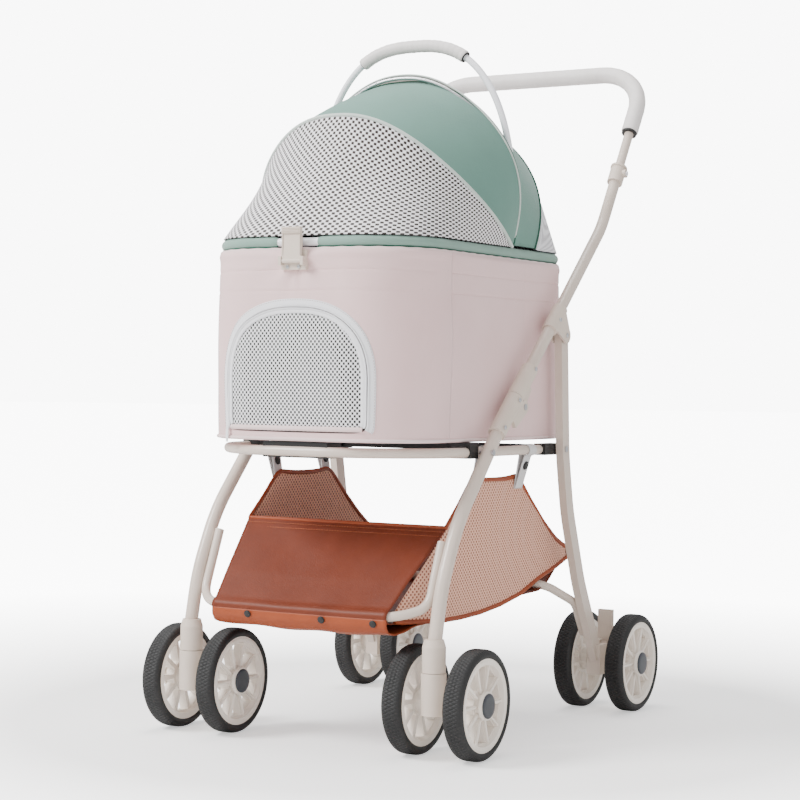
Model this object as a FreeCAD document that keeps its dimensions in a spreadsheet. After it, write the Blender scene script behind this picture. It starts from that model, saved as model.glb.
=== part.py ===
"""Folding pet stroller: detachable fabric carrier, folding tube frame, twin wheels.

Every length is in millimetres. X points to the stroller's left-hand side as its user
pushes it, Y points backwards to the handle and Z points up. The design is laid out
with y = 0 on the front axles and is then moved by `origin_back`, so that the origin
is on the floor, under the middle of the whole stroller.
"""
import FreeCAD, Part
import math
import os

from FreeCAD import Placement, Rotation, Vector

SIZES = {
    # whole object
    "origin_back": 279.05,
    # wheels
    "wheel_radius": 75.0, "tyre_width": 30.0, "rim_radius": 63.0, "rim_width": 26.0,
    "hub_radius": 17.0, "hub_width": 34.0, "axle_radius": 4.0, "wheel_play": 0.05,
    "spoke_hole_inner": 22.0, "spoke_hole_outer": 53.0, "spoke_count": 10.0, "web_width": 12.0,
    "front_track": 198.9, "front_twin": 46.6, "rear_track": 200.1, "rear_twin": 43.3,
    "rear_axle_back": 513.6,
    # casters
    "swivel_ahead": 36.0, "socket_radius": 16.0, "socket_low": 119.0, "socket_high": 153.0,
    "swivel_radius": 6.0, "fork_radius": 17.0, "fork_low": 62.0, "fork_high": 118.4,
    # frame tubes
    "frame_half": 200.0, "leg_radius": 9.5, "tube_wall": 1.5, "outer_tube_radius": 8.75,
    "inner_tube_radius": 7.2, "slide_play": 0.05, "crossbar_radius": 6.5,
    "rear_leg_depth": 22.0, "rear_leg_width": 12.0, "rivet_radius": 3.0,
    # fold hinge between the front leg and the handle tube
    "sleeve_radius": 12.5, "hinge_back": 198.7, "hinge_up": 472.3, "knuckle_radius": 10.0,
    "tongue_half": 5.0, "ear_outer": 11.0,
    # carrier support ring
    "ring_half": 182.0, "ring_up": 409.0, "ring_radius": 7.0, "ring_front": -76.0,
    "ring_corner": 150.0, "ring_back": 318.0,
    "support_front_back": 104.0, "support_rear_back": 345.0, "support_up": 409.0,
    # carrier
    "carrier_half": 175.0, "carrier_front": -80.0, "carrier_back": 420.0,
    "carrier_low": 422.3, "carrier_high": 685.0, "front_corner": 105.0, "rear_corner": 60.0,
    "wall": 5.0, "floor_board": 4.0, "pad_height": 26.0,
    "door_half": 112.0, "door_low": 436.0, "door_high": 605.0, "door_corner": 70.0,
    "door_gap": 1.0, "door_wall": 2.5, "door_axis_front": -81.5,
    # lid and canopy
    "lid_ring_radius": 8.0, "lid_ring_up": 694.5, "bow_radius": 2.5, "cloth": 1.6,
    "canopy_pivot_back": 231.0, "canopy_pivot_up": 702.0, "canopy_half": 170.0,
    "rear_bow_pivot_back": 300.0,
    "carry_pivot_back": 240.0, "carry_radius": 5.0, "carry_grip_radius": 9.5,
    # handle
    "handle_slope": 57.5, "collar_reach": 105.0, "grip_reach": 83.0, "handle_reach": 206.8,
    "handle_bend": 80.0, "grip_radius": 13.5,
}

doc = FreeCAD.newDocument("pet_stroller")
sheet = doc.addObject("Spreadsheet::Sheet", "sizes")
for row, (alias, value) in enumerate(SIZES.items(), start=1):
    sheet.set(f"A{row}", alias)
    sheet.set(f"B{row}", str(value))
    sheet.setAlias(f"B{row}", alias)
doc.recompute()

nodes = []


def size(alias):
    """A driving dimension, read from the sheet."""
    return float(sheet.get(alias))


def node(thing, label):
    """Register a document object as one sub-part of the stroller."""
    thing.Label = label
    nodes.append(thing)
    return thing


def shaped(label, shape):
    """A sub-part whose shape is worked out by Part functions."""
    thing = doc.addObject("Part::Feature", label)
    thing.Shape = shape
    return node(thing, label)


def mirrored(shape):
    """The same piece on the other side of the stroller."""
    return shape.mirror(Vector(0, 0, 0), Vector(1, 0, 0))


def both_sides(shape):
    """A piece and its mirror image, as two separate solids of one sub-part."""
    return Part.makeCompound([shape, mirrored(shape)])


def left_solid(label):
    """The solid of a pair that is on the stroller's +X side."""
    pair = next(thing for thing in nodes if thing.Label == label)
    return next(solid for solid in pair.Shape.Solids if solid.CenterOfMass.x > 0)


# ---------------------------------------------------------------- shape helpers

def rounded_path(points, bends):
    """Straight runs through the points, joined by tangent arcs of the given radii."""
    edges, start = [], points[0]
    for before, corner, after, bend in zip(points, points[1:], points[2:], bends):
        back, ahead = (before - corner).normalize(), (after - corner).normalize()
        half_turn = (math.pi - back.getAngle(ahead)) / 2
        reach = bend * math.tan(half_turn)
        first, last = corner + back * reach, corner + ahead * reach
        inward = (back + ahead).normalize()
        centre = corner + inward * (bend / math.cos(half_turn))
        middle = centre - inward * bend
        edges.append(Part.LineSegment(start, first).toShape())
        edges.append(Part.Arc(first, middle, last).toShape())
        start = last
    edges.append(Part.LineSegment(start, points[-1]).toShape())
    return Part.Wire(edges)


def swept(path, section):
    """A section carried along a path, as a closed solid."""
    return path.makePipeShell([section], True, False)


def circle_at_start(path, radius):
    """A circular section square to the start of a path."""
    edge = path.Edges[0]
    start = edge.valueAt(edge.FirstParameter)
    return Part.Wire(Part.makeCircle(radius, start, edge.tangentAt(edge.FirstParameter)))


def rod(path, radius):
    """A solid round bar along a path."""
    return swept(path, circle_at_start(path, radius))


def tube(path, radius, wall):
    """A round tube along a path, open at both ends."""
    return rod(path, radius).cut(rod(path, radius - wall))


def side_points(x, *pairs):
    """Points in the upright plane at one x, from (back, up) pairs."""
    return [Vector(x, back, up) for back, up in pairs]


def cross_pin(x_low, x_high, back, up, radius):
    """A round pin across the stroller."""
    return Part.makeCylinder(radius, x_high - x_low, Vector(x_low, back, up), Vector(1, 0, 0))


def box(low, high):
    """A box between two corners."""
    low, high = Vector(*low), Vector(*high)
    return Part.makeBox(high.x - low.x, high.y - low.y, high.z - low.z, low)


def plan_wire(inset, up):
    """The carrier's outline seen from above, moved inwards by `inset`."""
    half = size("carrier_half") - inset
    front, back = size("carrier_front") + inset, size("carrier_back") - inset
    front_bend, rear_bend = size("front_corner") - inset, size("rear_corner") - inset
    corners = [Vector(0, front, up), Vector(half, front, up), Vector(half, back, up),
               Vector(-half, back, up), Vector(-half, front, up), Vector(0, front, up)]
    return rounded_path(corners, [front_bend, rear_bend, rear_bend, front_bend])


def plan_solid(inset, low, high):
    """An upright solid with the carrier's outline."""
    return Part.Face(plan_wire(inset, low)).extrude(Vector(0, 0, high - low))


def thick_sheet(outer, inner):
    """A closed thin solid between two grids of points that have the same layout."""
    skins = []
    for grid in (outer, inner):
        surface = Part.BSplineSurface()
        surface.interpolate(grid)
        skins.append(surface.toShape())
    edges = [Part.makeRuledSurface(a, b) for a, b in zip(skins[0].Edges, skins[1].Edges)]
    shell = Part.makeShell(skins + edges)
    shell.sewShape()
    solid = Part.makeSolid(Part.Shell(shell.Faces))
    if solid.Volume < 0:
        solid.reverse()
    return solid


# ---------------------------------------------------------------- wheels

def origin_plane(body, role):
    """One of a body's own origin planes, found by its role."""
    return next(f for f in body.Origin.OriginFeatures if f.Role == role)


def new_sketch(body, name, role):
    """An empty sketch on one of the body's origin planes."""
    sketch = body.newObject("Sketcher::SketchObject", name)
    sketch.AttachmentSupport = [(origin_plane(body, role), "")]
    sketch.MapMode = "FlatFace"
    return sketch


def draw_outline(sketch, points):
    """A closed outline of straight lines."""
    for start, end in zip(points, points[1:] + points[:1]):
        sketch.addGeometry(Part.LineSegment(Vector(*start, 0), Vector(*end, 0)), False)


def revolve_about_axle(body, name, points):
    """A turned piece: an outline of (along the axle, out from it) points spun once."""
    sketch = new_sketch(body, name + "_profile", "XY_Plane")
    draw_outline(sketch, points)
    turned = body.newObject("PartDesign::Revolution", name)
    turned.Profile = sketch
    turned.ReferenceAxis = (sketch, ["H_Axis"])
    turned.Angle = 360.0
    sketch.Visibility = False
    return turned


def place_wheel_part(body, x, back):
    """Put a wheel's piece on its axle, bound to the sheet's wheel radius."""
    body.Placement = Placement(Vector(x, back, size("wheel_radius")), Rotation())
    body.setExpression("Placement.Base.z", "sizes.wheel_radius")


def make_tyre(label, x, back):
    """A solid rubber tyre with a rounded tread, closed on the rim."""
    body = doc.addObject("PartDesign::Body", label)
    half, out, seat = size("tyre_width") / 2, size("wheel_radius"), size("rim_radius")
    shoulder = out - 5.0
    outline = [(-half + 4, seat), (half - 4, seat), (half, seat + 2), (half, shoulder - 2),
               (half - 5, out - 0.9), (half - 9, out), (9 - half, out), (5 - half, out - 0.9),
               (-half, shoulder - 2), (-half, seat + 2)]
    revolve_about_axle(body, label + "_turned", outline)
    place_wheel_part(body, x, back)
    return node(body, label)


def make_rim(label, x, back):
    """A moulded rim: hub, web and ring, with the gaps between its spokes cut out."""
    body = doc.addObject("PartDesign::Body", label)
    bore = size("axle_radius") + size("wheel_play")
    hub, ring = size("hub_radius"), size("rim_radius")
    hub_half, web_half, rim_half = size("hub_width") / 2, size("web_width") / 2, size("rim_width") / 2
    ring_in = size("spoke_hole_outer")
    outline = [(-hub_half, bore), (hub_half, bore), (hub_half, hub), (web_half, hub),
               (web_half, ring_in), (rim_half, ring_in + 2), (rim_half, ring - 0.01),
               (-rim_half, ring - 0.01), (-rim_half, ring_in + 2), (-web_half, ring_in),
               (-web_half, hub), (-hub_half, hub)]
    revolve_about_axle(body, label + "_turned", outline)
    doc.recompute()
    window = new_sketch(body, label + "_window", "YZ_Plane")
    low, high = size("spoke_hole_inner"), ring_in
    draw_outline(window, [(-4.0, low), (4.0, low), (13.0, high - 1.5), (-13.0, high - 1.5)])
    pocket = body.newObject("PartDesign::Pocket", label + "_gap")
    pocket.Profile = window
    pocket.Midplane = True
    pocket.Length = 2 * size("web_width")
    window.Visibility = False
    pattern = body.newObject("PartDesign::PolarPattern", label + "_gaps")
    pattern.Originals = [pocket]
    pattern.Axis = (window, ["N_Axis"])
    pattern.Angle = 360.0
    pattern.setExpression("Occurrences", "sizes.spoke_count")
    body.Tip = pattern
    place_wheel_part(body, x, back)
    return node(body, label)


def make_wheels():
    """Eight wheels: an outer and an inner one at each corner."""
    corners = {"front_left": (size("front_track"), 0.0, size("front_twin")),
               "front_right": (-size("front_track"), 0.0, size("front_twin")),
               "rear_left": (size("rear_track"), size("rear_axle_back"), size("rear_twin")),
               "rear_right": (-size("rear_track"), size("rear_axle_back"), size("rear_twin"))}
    for corner, (x, back, twin) in corners.items():
        outward = math.copysign(twin, x)
        for place, wheel_x in (("outer", x + outward), ("inner", x - outward)):
            make_tyre(f"tyre_{corner}_{place}", wheel_x, back)
            make_rim(f"rim_{corner}_{place}", wheel_x, back)


# ---------------------------------------------------------------- frame

SLEEVE_START = Vector(0, 132.0, 434.0)
HANDLE_BEND = Vector(0, 472.0, 748.0)
AXIS = (HANDLE_BEND - SLEEVE_START).normalize()


def along_axis(distance, x=0.0):
    """A point on the fold sleeve's axis, measured from its lower end."""
    return SLEEVE_START + AXIS * distance + Vector(x, 0, 0)


def hinge_point(x=0.0):
    """The fold hinge's pivot."""
    return Vector(x, size("hinge_back"), size("hinge_up"))


def split_distance():
    """How far along the sleeve the fold hinge parts."""
    return (hinge_point() - SLEEVE_START).dot(AXIS)


def make_front_legs():
    """Bent front leg tubes, from the caster sockets up into the fold hinges."""
    x = size("frame_half")
    top = along_axis(split_distance() - 10.5)
    foot = (-38.5, size("socket_high") - 6)
    points = side_points(x, foot, (-21.4, 227.8), (21.1, 314.8), (132, 434), (top.y, top.z))
    leg = tube(rounded_path(points, [250, 250, 200]), size("leg_radius"), size("tube_wall"))
    pin = cross_pin(x - 12, x + 12, size("support_front_back"), size("support_up"),
                    size("rivet_radius") + size("slide_play"))
    return shaped("front_legs", both_sides(leg.cut(pin)))


def front_crossbar_path():
    """From inside one front leg, down and across to the other."""
    x = size("frame_half") - size("leg_radius") - size("crossbar_radius") - 0.1
    left = [Vector(x, 9, 289), Vector(x, -26, 203), Vector(150, -58, 190)]
    right = [Vector(-p.x, p.y, p.z) for p in reversed(left)]
    return rounded_path(left + right, [30, 60, 60, 30])


def make_front_crossbar():
    """The bent bar inside the front legs that carries the basket's front edge."""
    return shaped("front_crossbar", rod(front_crossbar_path(), size("crossbar_radius")))


def knuckle(centre, radius, x_low, x_high, reach):
    """A hinge knuckle round the pivot with a web that runs along the sleeve."""
    disc = cross_pin(x_low, x_high, centre.y, centre.z, radius)
    normal = Vector(0, -AXIS.z, AXIS.y)
    end = centre + AXIS * reach
    corners = [centre - normal * radius, end - normal * (radius * 0.35), end + normal * 14,
               centre + normal * 14]
    flat = [Vector(x_low, c.y, c.z) for c in corners]
    web = Part.Face(Part.makePolygon(flat + flat[:1])).extrude(Vector(x_high - x_low, 0, 0))
    return disc.fuse(web)


def hinge_half(start, end, ears, reach, leg_bore):
    """Half of a fold sleeve: a round sleeve, its knuckles, and room for the other half's."""
    x, gap = size("frame_half"), 0.3
    low, high = along_axis(start, x), along_axis(end, x)
    sleeve = Part.makeCylinder(size("sleeve_radius"), end - start, low, AXIS)
    pivot = hinge_point(x)
    tongue, outer, radius = size("tongue_half"), size("ear_outer"), size("knuckle_radius")
    bands = [(-outer, -tongue - gap), (tongue + gap, outer)] if ears else [(-tongue, tongue)]
    free = [(-tongue - gap, tongue + gap)] if ears else [(-outer - 3, -tongue), (tongue, outer + 3)]
    half = sleeve
    for first, last in bands:
        half = half.fuse(knuckle(pivot, radius, x + first, x + last, reach))
    for first, last in free:
        half = half.cut(cross_pin(x + first, x + last, pivot.y, pivot.z, radius + gap))
    half = half.cut(Part.makeCylinder(leg_bore, end - start + 2, low - AXIS, AXIS))
    hole = size("rivet_radius") + (0.0 if ears else size("slide_play"))
    half = half.cut(cross_pin(x - 20, x + 20, pivot.y, pivot.z, hole))
    return half.removeSplitter()


def make_fold_hinges():
    """The moulded fold hinges: lower halves on the legs, upper halves on the handle tubes."""
    split, gap = split_distance(), 0.4
    lower = hinge_half(0.0, split - gap, True, -40.0, size("leg_radius"))
    lower = lower.cut(left_solid("front_legs"))
    upper = hinge_half(split + gap, split + 62.0, False, 40.0, size("outer_tube_radius"))
    shaped("fold_hinge_lowers", both_sides(lower))
    shaped("fold_hinge_uppers", both_sides(upper))
    x, pivot = size("frame_half"), hinge_point()
    reach = size("ear_outer") + 1.2
    pin = cross_pin(x - reach, x + reach, pivot.y, pivot.z, size("rivet_radius"))
    head = cross_pin(x + size("ear_outer"), x + reach, pivot.y, pivot.z, 4.5)
    tail = cross_pin(x - reach, x - size("ear_outer"), pivot.y, pivot.z, 4.5)
    shaped("fold_hinge_pins", both_sides(pin.fuse([head, tail])))


def handle_direction():
    """The direction in which the handle slides out of its tubes."""
    slope = math.radians(size("handle_slope"))
    return Vector(0, math.cos(slope), math.sin(slope))


def collar_centre(x=0.0):
    """The middle of the collar at the top of a handle tube."""
    return HANDLE_BEND + handle_direction() * size("collar_reach") + Vector(x, 0, 0)


def make_outer_tubes():
    """Handle tubes, from the fold hinge past the rear leg fitting up to the collar."""
    x = size("frame_half")
    start = along_axis(split_distance() + 11, x)
    bend = HANDLE_BEND + Vector(x, 0, 0)
    end = collar_centre(x) + handle_direction() * 12
    path = rounded_path([start, bend, end], [150])
    wall = size("outer_tube_radius") - size("inner_tube_radius") - size("slide_play")
    return shaped("handle_outer_tubes", both_sides(tube(path, size("outer_tube_radius"), wall)))


def make_rear_leg_fittings():
    """Clamps on the handle tubes whose cheeks straddle the tops of the rear legs."""
    x = size("frame_half")
    start = along_axis(222, x)
    sleeve = Part.makeCylinder(11.5, 48, start, AXIS)
    pivot = Vector(x, 333.5, 578.3)
    up = pivot + Vector(0, -AXIS.z, AXIS.y) * 31
    cheeks = []
    for first, last in ((-11.0, -8.0), (8.0, 11.0)):
        disc = cross_pin(x + first, x + last, pivot.y, pivot.z, 12)
        corners = [pivot + AXIS * 12, up + AXIS * 22, up - AXIS * 22, pivot - AXIS * 12]
        flat = [Vector(x + first, c.y, c.z) for c in corners]
        web = Part.Face(Part.makePolygon(flat + flat[:1])).extrude(Vector(last - first, 0, 0))
        cheeks += [disc, web]
    body = sleeve.fuse(cheeks)
    body = body.cut(Part.makeCylinder(size("outer_tube_radius"), 60, start - AXIS * 6, AXIS))
    return shaped("rear_leg_fittings", both_sides(body.removeSplitter()))


def make_collars_and_buttons():
    """Collars at the tops of the handle tubes, each with a sprung snap button."""
    x, along = size("frame_half"), handle_direction()
    centre = collar_centre(x)
    collar = Part.makeCylinder(12.2, 30, centre - along * 18, along)
    collar = collar.fuse(Part.makeCylinder(13.2, 4, centre + along * 9, along))
    boss = cross_pin(x, x + 15.5, centre.y, centre.z, 6.5)
    collar = collar.fuse(boss).cut(
        Part.makeCylinder(size("outer_tube_radius"), 40, centre - along * 20, along))
    collar = collar.cut(cross_pin(x + 9.0, x + 20, centre.y, centre.z, 3.55))
    shaped("handle_collars", both_sides(collar.removeSplitter()))
    button = cross_pin(x + 12.2, x + 17.4, centre.y, centre.z, 3.5)
    shaped("snap_button_left", button)
    shaped("snap_button_right", mirrored(button))


def make_handle():
    """The telescoping push bar with its padded grip and the grip's end rings."""
    x, along = size("frame_half"), handle_direction()
    corner = collar_centre(x) + along * size("handle_reach")
    low = collar_centre(x) - along * 75
    grip_low = collar_centre(x) + along * size("grip_reach")

    def bar_path(start):
        across = [start, corner, Vector(-corner.x, corner.y, corner.z), Vector(-start.x, start.y, start.z)]
        return rounded_path(across, [size("handle_bend")] * 2)

    bar = tube(bar_path(low), size("inner_tube_radius"), size("tube_wall"))
    shaped("handle_bar", bar)
    grip = rod(bar_path(grip_low), size("grip_radius"))
    grip = grip.cut(rod(bar_path(grip_low - along), size("inner_tube_radius")))
    shaped("handle_grip", grip)
    ring = Part.makeCylinder(size("grip_radius") - 1.5, 3, grip_low - along * 3.1, along)
    ring = ring.cut(rod(bar_path(low), size("inner_tube_radius")))
    shaped("grip_end_rings", both_sides(ring))


def make_rear_legs():
    """Flat-sided rear leg tubes, from the handle fittings down to the axle brackets."""
    x, depth, width = size("frame_half"), size("rear_leg_depth"), size("rear_leg_width")
    points = side_points(x, (335.2, 590), (347, 400), (364, 315), (407, 205), (481, 73))
    path = rounded_path(points, [280, 250, 250])
    start, run = points[0], (points[1] - points[0]).normalize()
    across = run.cross(Vector(1, 0, 0))

    def section(w, d):
        corners = [start + Vector(sx * w / 2, 0, 0) + across * (sy * d / 2)
                   for sx, sy in ((-1, -1), (1, -1), (1, 1), (-1, 1))]
        return Part.makePolygon(corners + corners[:1])

    leg = swept(path, section(width, depth))
    hollow = swept(path, section(width - 2 * size("tube_wall"), depth - 2 * size("tube_wall")))
    pin = cross_pin(x - 20, x + 20, size("support_rear_back"), size("support_up"),
                    size("rivet_radius") + size("slide_play"))
    return shaped("rear_legs", both_sides(leg.cut(hollow).cut(pin)))


def rear_crossbar_path():
    """From inside one rear leg, up, forwards and across to the other."""
    x = size("frame_half") - size("rear_leg_width") / 2 - size("crossbar_radius") - 0.1
    left = [Vector(x, 456, 122), Vector(x, 424, 172), Vector(x - 18, 352, 205)]
    right = [Vector(-p.x, p.y, p.z) for p in reversed(left)]
    return rounded_path(left + right, [38, 30, 30, 38])


def make_rear_crossbar():
    """The bent bar inside the rear legs, under the back of the basket."""
    return shaped("rear_crossbar", rod(rear_crossbar_path(), size("crossbar_radius")))


def make_rear_axles():
    """Moulded axle brackets at the rear legs' feet, their axles and the brake pedals."""
    x, back, up = size("rear_track"), size("rear_axle_back"), size("wheel_radius")
    arm = box((x - 11, 466, 58), (x + 11, back + 8, 88))
    boss = cross_pin(x - 24, x + 24, back, up, 13)
    post = box((x - 11, 464, 84), (x + 11, 494, 104))
    bracket = arm.fuse([boss, post])
    bracket = bracket.cut(left_solid("rear_legs"))
    bracket = max(bracket.Solids, key=lambda s: s.Volume)
    axle_hole = cross_pin(x - 30, x + 30, back, up, size("axle_radius"))
    pivot_back, pivot_up = back - 4, up + 26
    ears = box((x - 9, pivot_back - 8, up + 10), (x - 6, pivot_back + 6, pivot_up + 6)).fuse(
        box((x + 6, pivot_back - 8, up + 10), (x + 9, pivot_back + 6, pivot_up + 6)))
    pivot_hole = cross_pin(x - 12, x + 12, pivot_back, pivot_up, 2.05)
    bracket = bracket.fuse(ears).cut(axle_hole).cut(pivot_hole).removeSplitter()
    shaped("rear_axle_brackets", both_sides(bracket))
    reach = size("rear_twin") + size("hub_width") / 2 + 2
    axle = cross_pin(x - reach, x + reach, back, up, size("axle_radius"))
    shaped("rear_axles", both_sides(axle))
    barrel = cross_pin(x - 5.7, x + 5.7, pivot_back, pivot_up, 5)
    stem = box((x - 5.7, pivot_back - 2, pivot_up), (x + 5.7, pivot_back + 3, pivot_up + 12))
    plate = box((x - 12, pivot_back - 3, pivot_up + 9), (x + 12, pivot_back + 4, pivot_up + 54))
    stub = cross_pin(x - 8.9, x + 8.9, pivot_back, pivot_up, 2.0)
    pedal = barrel.fuse([stem, plate, stub]).removeSplitter()
    shaped("brake_pedal_left", pedal)
    shaped("brake_pedal_right", mirrored(pedal))


def make_casters():
    """Caster sockets on the front legs, and the swivelling forks with their axles."""
    x, ahead, up = size("front_track"), -size("swivel_ahead"), size("wheel_radius")
    low, high = size("socket_low"), size("socket_high")
    socket = Part.makeCylinder(size("socket_radius"), high - low, Vector(x, ahead, low))
    socket = socket.fuse(Part.makeCone(size("socket_radius"), 13.0, 10, Vector(x, ahead, high)))
    room = Part.makeCylinder(size("leg_radius"), 30, Vector(x + 1.1, -38.5, high - 6),
                             Vector(0, 17.1, 80.8).normalize())
    stem_room = Part.makeCylinder(size("swivel_radius") + size("slide_play"), 24, Vector(x, ahead, low - 1))
    socket = socket.cut(room).cut(left_solid("front_legs")).cut(stem_room)
    socket = max(socket.Solids, key=lambda s: s.Volume)
    shaped("caster_sockets", both_sides(socket))
    barrel = Part.makeCylinder(size("fork_radius"), size("fork_high") - size("fork_low"),
                               Vector(x, ahead, size("fork_low")))
    stem = Part.makeCylinder(size("swivel_radius"), 22, Vector(x, ahead, size("fork_high") - 1))
    arm = box((x - 12, ahead, up - 13), (x + 12, 6, up + 20))
    boss = cross_pin(x - 27, x + 27, 0, up, 12)
    axle_hole = cross_pin(x - 40, x + 40, 0, up, size("axle_radius"))
    fork = barrel.fuse([stem, arm, boss]).cut(axle_hole).removeSplitter()
    reach = size("front_twin") + size("hub_width") / 2 + 2
    axle = cross_pin(x - reach, x + reach, 0, up, size("axle_radius"))
    caster = Part.makeCompound([fork, axle])
    shaped("caster_fork_left", caster)
    shaped("caster_fork_right", mirrored(caster))


def make_support_ring():
    """The bent ring that the carrier sits on, its black end blocks and its pivot rivets."""
    x, up, back = size("ring_half"), size("ring_up"), size("ring_back")
    front = size("ring_front")
    points = [Vector(x, back, up), Vector(x, front, up), Vector(-x, front, up), Vector(-x, back, up)]
    ring = tube(rounded_path(points, [size("ring_corner")] * 2), size("ring_radius"), size("tube_wall"))
    rivet = size("rivet_radius")
    front_pin = cross_pin(x - 2, x + 29, size("support_front_back"), size("support_up"), rivet)
    front_head = cross_pin(x + 28, x + 29.5, size("support_front_back"), size("support_up"), 4.5)
    front_rivet = front_pin.fuse(front_head)
    rear_pin = cross_pin(x - 2, x + 25.5, size("support_rear_back"), size("support_up"), rivet)
    rear_head = cross_pin(x + 24.3, x + 25.8, size("support_rear_back"), size("support_up"), 4.5)
    rear_rivet = rear_pin.fuse(rear_head)
    holes = [front_rivet, mirrored(front_rivet)]
    shaped("support_ring", ring.cut(holes[0]).cut(holes[1]))
    shaped("support_rivets", both_sides(Part.makeCompound([front_rivet, rear_rivet])))
    block = box((x - 8, back - 16, up - 8.5), (x + 10.5, 356, up + 8.5))
    block = block.cut(Part.makeCylinder(size("ring_radius"), 17, Vector(x, back - 16.5, up), Vector(0, 1, 0)))
    block = block.cut(rear_rivet)
    cross = box((-x + 8, back + 6, up - 6), (x - 8, back + 30, up + 6))
    shaped("ring_rear_bracket", cross.fuse([block, mirrored(block)]).removeSplitter())
    rest_low, rest_high = up - 9.5, size("carrier_low") - 0.3
    front_rest = box((-52, front - 2, rest_low + 1), (52, front + 34, rest_high))
    side_rest = box((x - 22, 74, rest_low + 1), (x + 8.2, 98, rest_high))
    ring_room = rod(rounded_path(points, [size("ring_corner")] * 2), size("ring_radius"))
    rests = [front_rest.cut(ring_room), side_rest.cut(ring_room)]
    shaped("carrier_rests", Part.makeCompound([rests[0], rests[1], mirrored(rests[1])]))


# ---------------------------------------------------------------- carrier

def door_prism(shrink):
    """The arched doorway's outline, carried through the front wall."""
    half, low = size("door_half") - shrink, size("door_low") + shrink
    high, bend = size("door_high") - shrink, size("door_corner") - shrink
    front = size("carrier_front") - 10
    corners = [Vector(0, front, low), Vector(half, front, low), Vector(half, front, high),
               Vector(-half, front, high), Vector(-half, front, low), Vector(0, front, low)]
    outline = rounded_path(corners, [8.0, bend, bend, 8.0])
    return Part.Face(outline).extrude(Vector(0, 60, 0))


def make_carrier():
    """The fabric tub with its arched front doorway, its floor board, pad and rim tube."""
    low, high, wall = size("carrier_low"), size("carrier_high"), size("wall")
    floor = low + size("floor_board")
    shell = plan_solid(0, low, high).cut(plan_solid(wall, floor, high + 1))
    doorway = door_prism(0)
    shaped("carrier_shell", shell.cut(doorway))
    leaf = plan_solid(0.5, low, high).cut(plan_solid(0.5 + size("door_wall"), low - 1, high + 1))
    leaf = leaf.common(door_prism(size("door_gap")))
    shaped("front_door", leaf)
    board_top = floor + size("floor_board")
    shaped("floor_board", plan_solid(wall + 1, floor, board_top))
    pad = plan_solid(wall + 5, board_top + 0.2, board_top + size("pad_height"))
    shaped("carrier_pad", pad)
    rim_radius = 4.6
    rim = rod(plan_wire(wall + rim_radius + 0.2, high - 8), rim_radius)
    shaped("carrier_rim_tube", rim)


def make_latch():
    """The front latch: a base on the carrier's wall and a lever that swings outwards."""
    front = size("carrier_front")
    axis_back, axis_up, pin = front - 11.0, 668.0, 1.5
    plate = box((-20, front - 7.0, 656), (20, front - 0.1, 683))
    ears = [box((side - 2.2, axis_back - 4, 662), (side + 2.2, front - 1, 674)) for side in (-17.7, 17.7)]
    hole = cross_pin(-25, 25, axis_back, axis_up, pin + size("slide_play"))
    base = plate.fuse(ears).cut(hole).removeSplitter()
    shaped("latch_base", base)
    barrel = cross_pin(-15, 15, axis_back, axis_up, 3.2)
    stub = cross_pin(-19.6, 19.6, axis_back, axis_up, pin)
    lever = box((-15, axis_back - 2, axis_up), (15, axis_back + 2.4, 714))
    tab = box((-15, axis_back - 4, 705), (15, axis_back, 714))
    boss = box((-11, axis_back, 688), (11, front - 1.2, 701))
    shaped("latch_lever", barrel.fuse([stub, lever, tab, boss]).removeSplitter())


class Hoop:
    """A bow that arches over the carrier from side to side.

    Its outline is a superellipse in a plane that leans about its pivots. `bulge` swells
    its shoulders sideways and `bow` pushes them out of the plane, forwards if negative.
    """

    def __init__(self, pivot_back, lean, height, power, bulge=0.0, bow=0.0, half=None):
        self.pivot_back, self.lean, self.height = pivot_back, math.radians(lean), height
        self.power, self.bulge, self.bow = power, bulge, bow
        self.half = size("canopy_half") if half is None else half

    def point(self, turn, inset):
        """The point at `turn`, from -90 degrees at one foot to +90 at the other."""
        rise = abs(math.cos(turn)) ** (2 / self.power)
        swell = math.sin(math.pi * rise)
        side = math.copysign(abs(math.sin(turn)) ** (2 / self.power), turn)
        x = (self.half - inset) * side * (1 + self.bulge * swell)
        out, off = (self.height - inset) * rise, self.bow * swell
        return Vector(x, self.pivot_back + out * math.sin(self.lean) + off * math.cos(self.lean),
                      size("canopy_pivot_up") + out * math.cos(self.lean) - off * math.sin(self.lean))

    def points(self, foot, count, inset=0.0, reach=1.0):
        """Points along the bow, starting and ending `foot` above the pivots."""
        rise = foot / (self.height * math.cos(self.lean))
        last = math.acos(rise ** (self.power / 2)) * reach
        return [self.point(last * (2 * i / (count - 1) - 1), inset) for i in range(count)]

    def bar(self, radius, inset, foot, count=17, reach=1.0):
        """A round bar bent along the bow."""
        curve = Part.BSplineCurve()
        curve.interpolate(self.points(foot, count, inset, reach))
        return rod(Part.Wire(curve.toShape()), radius)


def rim_points(inset, count, split_back, front):
    """Points along the front or rear part of the rim, from one side to the other."""
    up = size("canopy_pivot_up") + 1.2
    around = plan_wire(inset, up).discretize(Number=721)
    if front:
        kept = [p for p in around if p.y <= split_back]
        kept = sorted(kept, key=lambda p: math.atan2(p.x, split_back + 60 - p.y))
    else:
        kept = [p for p in around if p.y >= split_back]
        kept = sorted(kept, key=lambda p: math.atan2(p.x, p.y - split_back + 60))
    step = (len(kept) - 1) / (count - 1)
    return [kept[round(i * step)] for i in range(count)]


def blend_rows(first, last, columns=4):
    """Rows of points that run evenly from one edge to the other."""
    return [[a + (b - a) * (c / (columns - 1)) for c in range(columns)] for a, b in zip(first, last)]


def panel(first_edge, last_edge):
    """A thin cloth panel between two edges, each given as a function of the inset."""
    cloth = size("cloth")
    return thick_sheet(blend_rows(first_edge(0.0), last_edge(0.0)),
                       blend_rows(first_edge(cloth), last_edge(cloth)))


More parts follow.
